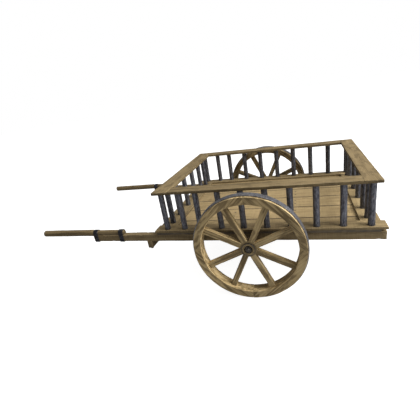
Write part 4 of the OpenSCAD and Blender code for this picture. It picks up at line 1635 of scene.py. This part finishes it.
@dataclass
class Wheel(Assembly):
    """A spoked wooden wheel with an iron tyre, built about its hub with +Y outwards.

    Attributes:
        side: Which wheel.
        felloes: How many lengths of rim.
        spoke_pair_deg: Angle between the two spokes of a felloe.
        spoke_w: Width of a square spoke.
        spoke_foot: Distance of a spoke's foot from the hub's middle.
        rim_in: Inner radius of the rim.
        rim_out: Outer radius of the rim.
        rim_w: Width of the rim.
        joint: Half the gap between two felloes.
        tyre_w: Width of the tyre.
        heart: The log's heart, off the nave's middle.
        nave: Outline of the nave, as corners of (place along the axle, radius) in millimetres.
        bands: Low and high places of the nave's iron bands, in millimetres.
        band_radii: Their inner and outer radius.
    """

    side: Side = Side.LEFT
    felloes: int = 4
    spoke_pair_deg: float = 40
    spoke_w: float = 46 * MM
    spoke_foot: float = 63.6 * MM
    rim_in: float = 380 * MM
    rim_out: float = 440 * MM
    rim_w: float = 100 * MM
    joint: float = 0.4 * MM
    tyre_w: float = 60 * MM
    heart: tuple[float, float] = (4 * MM, 3 * MM)
    nave: tuple[tuple[float, float], ...] = (
        (-85, 23.1), (-85, 50), (-73, 50), (-56, 55), (-53, 53.6), (-50, 57), (-24, 68), (23, 68),
        (23, 50), (35, 50), (35, 34), (15, 34), (15, 23.1),
    )
    bands: tuple[tuple[float, float], ...] = ((23.2, 35), (-85, -73.2))
    band_radii: tuple[float, float] = (50.1 * MM, 54 * MM)

    def node(self, part: str) -> str:
        """The CAD node of one of this wheel's parts."""
        return f"{part}_{self.side.word}"

    def hub(self) -> np.ndarray:
        """The hub's middle, from its joint."""
        joint = next(j for j in frame["joints"] if j["name"] == f"wheel_{self.side.word}_spin")
        return np.array(joint["pos_m"])

    def placed(self, part: Surface) -> Surface:
        """Moves a part from the hub's own axes to the cart, outwards on its side."""
        flip = np.array([1, self.side.value, 1])
        return part.moved(lambda points: points * flip + self.hub())

    def felloe(self, k: int) -> Surface:
        """One length of the rim: a straight timber carried round a quarter circle.

        A point's place along the timber over the middle radius is its angle, and its place through
        the timber is added to the middle radius. The grain stays straight, along the chord.

        Args:
            k: The felloe's number.

        Returns:
            The surface about the hub.
        """
        middle = (self.rim_in + self.rim_out) / 2
        sweep = FULL_TURN / self.felloes - 2 * self.joint / middle
        start = k * FULL_TURN / self.felloes + self.joint / middle
        w, t = self.rim_w / 2, (self.rim_out - self.rim_in) / 2
        ends = np.array([[s, -w, w, -t, t] for s in (0, sweep * middle)])
        bar = self.maker.timber(ends, Axis.X, corner=2.6 * MM, chips=0.7)
        angle = start + bar.points[:, 0] / middle
        radius = middle + bar.points[:, 2]
        across = bar.points[:, 1]
        bar.points = np.stack([radius * np.cos(angle), across, radius * np.sin(angle)], axis=-1)
        chord = start + sweep / 2
        way_out = np.array([math.cos(chord), 0, math.sin(chord)])
        way_on = np.array([-math.sin(chord), 0, math.cos(chord)])
        straight = np.stack([bar.points @ way_on, across, bar.points @ way_out - middle], axis=-1)
        bar.grain = straight + self.maker.log_place()
        return bar.facing_out()

    def spoke(self, angle: float) -> Surface:
        """One spoke: a square timber from the nave to just inside the rim, turned to its angle."""
        half = self.spoke_w / 2
        reach = (self.spoke_foot, self.rim_in + 2 * MM)
        ends = np.array([[r, -half, half, -half, half] for r in reach])
        bar = self.maker.timber(
            ends, Axis.X, corner=2.6 * MM, uneven=0.8 * MM, step=13 * MM, chips=0.6
        )
        turn = np.array(Matrix.Rotation(-angle, 3, "Y"))
        return bar.moved(lambda points: points @ turn.T)

    def make(self) -> None:
        """Rim, tyre, spokes and nave."""
        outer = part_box(self.node("tyre"))[1].z - self.hub()[2]
        tyre = self.maker.ring(
            (-self.tyre_w / 2, self.tyre_w / 2), (self.rim_out + 0.1 * MM, outer), around=256,
            corner=2.4 * MM, uneven=0.8 * MM, wavelength=0.07, log=IRON_STOCK,
        )
        self.piece(self.placed(tyre), TYRE_IRON, self.node("tyre"))
        rim = [self.placed(self.felloe(k)) for k in range(self.felloes)]
        self.piece(Surface.joined(rim), WHEEL_WOOD, self.node("felloes"))
        middles = (np.arange(self.felloes) + 0.5) * FULL_TURN / self.felloes
        half_pair = math.radians(self.spoke_pair_deg) / 2
        spokes = [self.placed(self.spoke(m + k * half_pair)) for m in middles for k in (-1, 1)]
        self.piece(Surface.joined(spokes), WHEEL_WOOD, self.node("spokes"))
        nave = self.maker.turned(
            [(y * MM, r * MM) for y, r in self.nave], Axis.Y, (0, 0, 0), around=72, corner=1.4 * MM,
            looped=True, log=np.array([self.maker.rng.uniform(0, 40), *self.heart]),
        )
        self.piece(self.placed(nave), NAVE_WOOD, self.node("nave"))
        hoops = [
            self.placed(self.maker.ring(
                (low * MM, high * MM), self.band_radii, around=72, corner=1.2 * MM, log=IRON_STOCK
            ))
            for low, high in self.bands
        ]
        self.piece(Surface.joined(hoops), HOOP_IRON, self.node("nave_bands"))
        self.dressed(PEG_WOOD, self.node("felloe_dowels"))
        self.dressed(FITTING_IRON, self.node("hub_bush"))


# ---- The studio ----


@dataclass(frozen=True)
class Lamp:
    """A square soft light.

    Attributes:
        name: Its name.
        place: Where it hangs.
        size: Its side, in metres.
        power: Its power, in watts.
        aim: The point that it faces.
    """

    name: str
    place: tuple[float, float, float]
    size: float
    power: float
    aim: tuple[float, float, float] = (-0.3, 0, 0.5)

    def hang(self) -> None:
        """Puts the lamp in the scene."""
        light = bpy.data.lights.new(self.name, "AREA")
        light.shape, light.size, light.energy = "SQUARE", self.size, self.power
        made = bpy.data.objects.new(self.name, light)
        made.location = self.place
        made.rotation_mode = "QUATERNION"
        toward = Vector(self.aim) - Vector(self.place)
        made.rotation_quaternion = toward.to_track_quat("-Z", "Y")
        bpy.context.scene.collection.objects.link(made)


@dataclass
class Studio:
    """A pale floor, soft light and the camera.

    Attributes:
        eye: Where the camera stands.
        heading_deg: The way it looks, turned from +X towards +Y.
        pitch_deg: How far it looks up.
        roll_deg: How far it leans.
        field_deg: Its field of view across the square frame.
        floor_size: Half the floor's width.
        floor_grey: The floor's lightness.
        floor_glow: How much whiter the floor looks to the camera than its light makes it.
        sky: Colour of the sky that lights the cart.
        sky_strength: Its strength.
        lamps: A big key from the tail, and a soft one from above.
    """

    eye: tuple[float, float, float] = (-0.9717, 2.8517, 1.6321)
    heading_deg: float = -71.335
    pitch_deg: float = -21.576
    roll_deg: float = -9.296
    field_deg: float = 69.707
    floor_size: float = 40.0
    floor_grey: float = 0.5
    floor_glow: float = 0.9
    sky: Colour = (1, 0.99, 0.97)
    sky_strength: float = 0.35
    lamps: tuple[Lamp, ...] = (
        Lamp("key", (-5.4, 0.9, 4.3), size=4.5, power=700),
        Lamp("top", (0.3, 0.3, 6.5), size=6.0, power=50),
    )

    def camera(self) -> None:
        """Sets the camera: its axes follow from heading and pitch, then lean by the roll."""
        heading, pitch, roll = map(math.radians, (self.heading_deg, self.pitch_deg, self.roll_deg))
        flat = math.cos(pitch)
        ahead = Vector((flat * math.cos(heading), flat * math.sin(heading), math.sin(pitch)))
        level = ahead.cross(Vector((0, 0, 1))).normalized()
        upright = level.cross(ahead)
        right = math.cos(roll) * level + math.sin(roll) * upright
        up = math.cos(roll) * upright - math.sin(roll) * level
        lens = bpy.data.cameras.new("camera")
        lens.angle = math.radians(self.field_deg)
        lens.clip_start, lens.clip_end = 0.05, 200
        made = bpy.data.objects.new("camera", lens)
        axes = Matrix((right, up, -ahead)).transposed().to_4x4()
        made.matrix_world = Matrix.Translation(self.eye) @ axes
        bpy.context.scene.collection.objects.link(made)
        bpy.context.scene.camera = made

    def floor(self) -> None:
        """A pale matt floor, which glows for the camera only."""
        s = self.floor_size
        mesh = bpy.data.meshes.new("floor")
        mesh.from_pydata([(-s, -s, 0), (s, -s, 0), (s, s, 0), (-s, s, 0)], [], [(0, 1, 2, 3)])
        made = bpy.data.objects.new("floor", mesh)
        bpy.context.scene.collection.objects.link(made)
        material = bpy.data.materials.new("Studio floor")
        material.use_nodes = True
        g = Graph(material.node_tree)
        shader = material.node_tree.nodes["Principled BSDF"]
        g.feed(shader.inputs["Base Color"], (self.floor_grey,) * 3)
        g.feed(shader.inputs["Roughness"], 0.9)
        g.feed(shader.inputs["Emission Color"], (1, 1, 1))
        seen = g.times(g.node("LightPath").outputs["Is Camera Ray"], self.floor_glow)
        g.feed(shader.inputs["Emission Strength"], seen)
        mesh.materials.append(material)

    def world(self) -> None:
        """A pale sky that the camera sees white."""
        world = bpy.data.worlds.new("studio")
        world.use_nodes = True
        world.node_tree.nodes.clear()
        g = Graph(world.node_tree)
        choice, output = g.node("MixShader"), g.node("OutputWorld")
        g.feed(choice.inputs[0], g.node("LightPath").outputs["Is Camera Ray"])
        skies = ((self.sky, self.sky_strength), ((1, 1, 1), 1.0))
        for socket, (colour, strength) in zip(choice.inputs[1:], skies):
            sky = g.node("Background")
            g.feed(sky.inputs["Color"], colour)
            g.feed(sky.inputs["Strength"], strength)
            g.feed(socket, sky.outputs[0])
        g.feed(output.inputs[0], choice.outputs[0])
        bpy.context.scene.world = world
        bpy.context.scene.view_settings.view_transform = "Standard"

    def make(self) -> None:
        """Camera, floor and light."""
        self.camera()
        self.floor()
        for lamp in self.lamps:
            lamp.hang()
        self.world()


def main() -> None:
    """Builds the studio and the cart."""
    logging.basicConfig(level=logging.INFO, format="%(name)s: %(message)s")
    Studio().make()
    maker = Maker(np.random.default_rng(SEED))
    stakes = Stakes(maker)
    deck = Deck(maker, irons=stakes.irons())
    wheels = [Wheel(maker, body=f"wheel_{side.word}", side=side) for side in Side]
    for assembly in (Underframe(maker), Shafts(maker), deck, stakes, Axle(maker), *wheels):
        LOG.info("making %s", type(assembly).__name__)
        assembly.make()


if __name__ == "__main__":
    main()
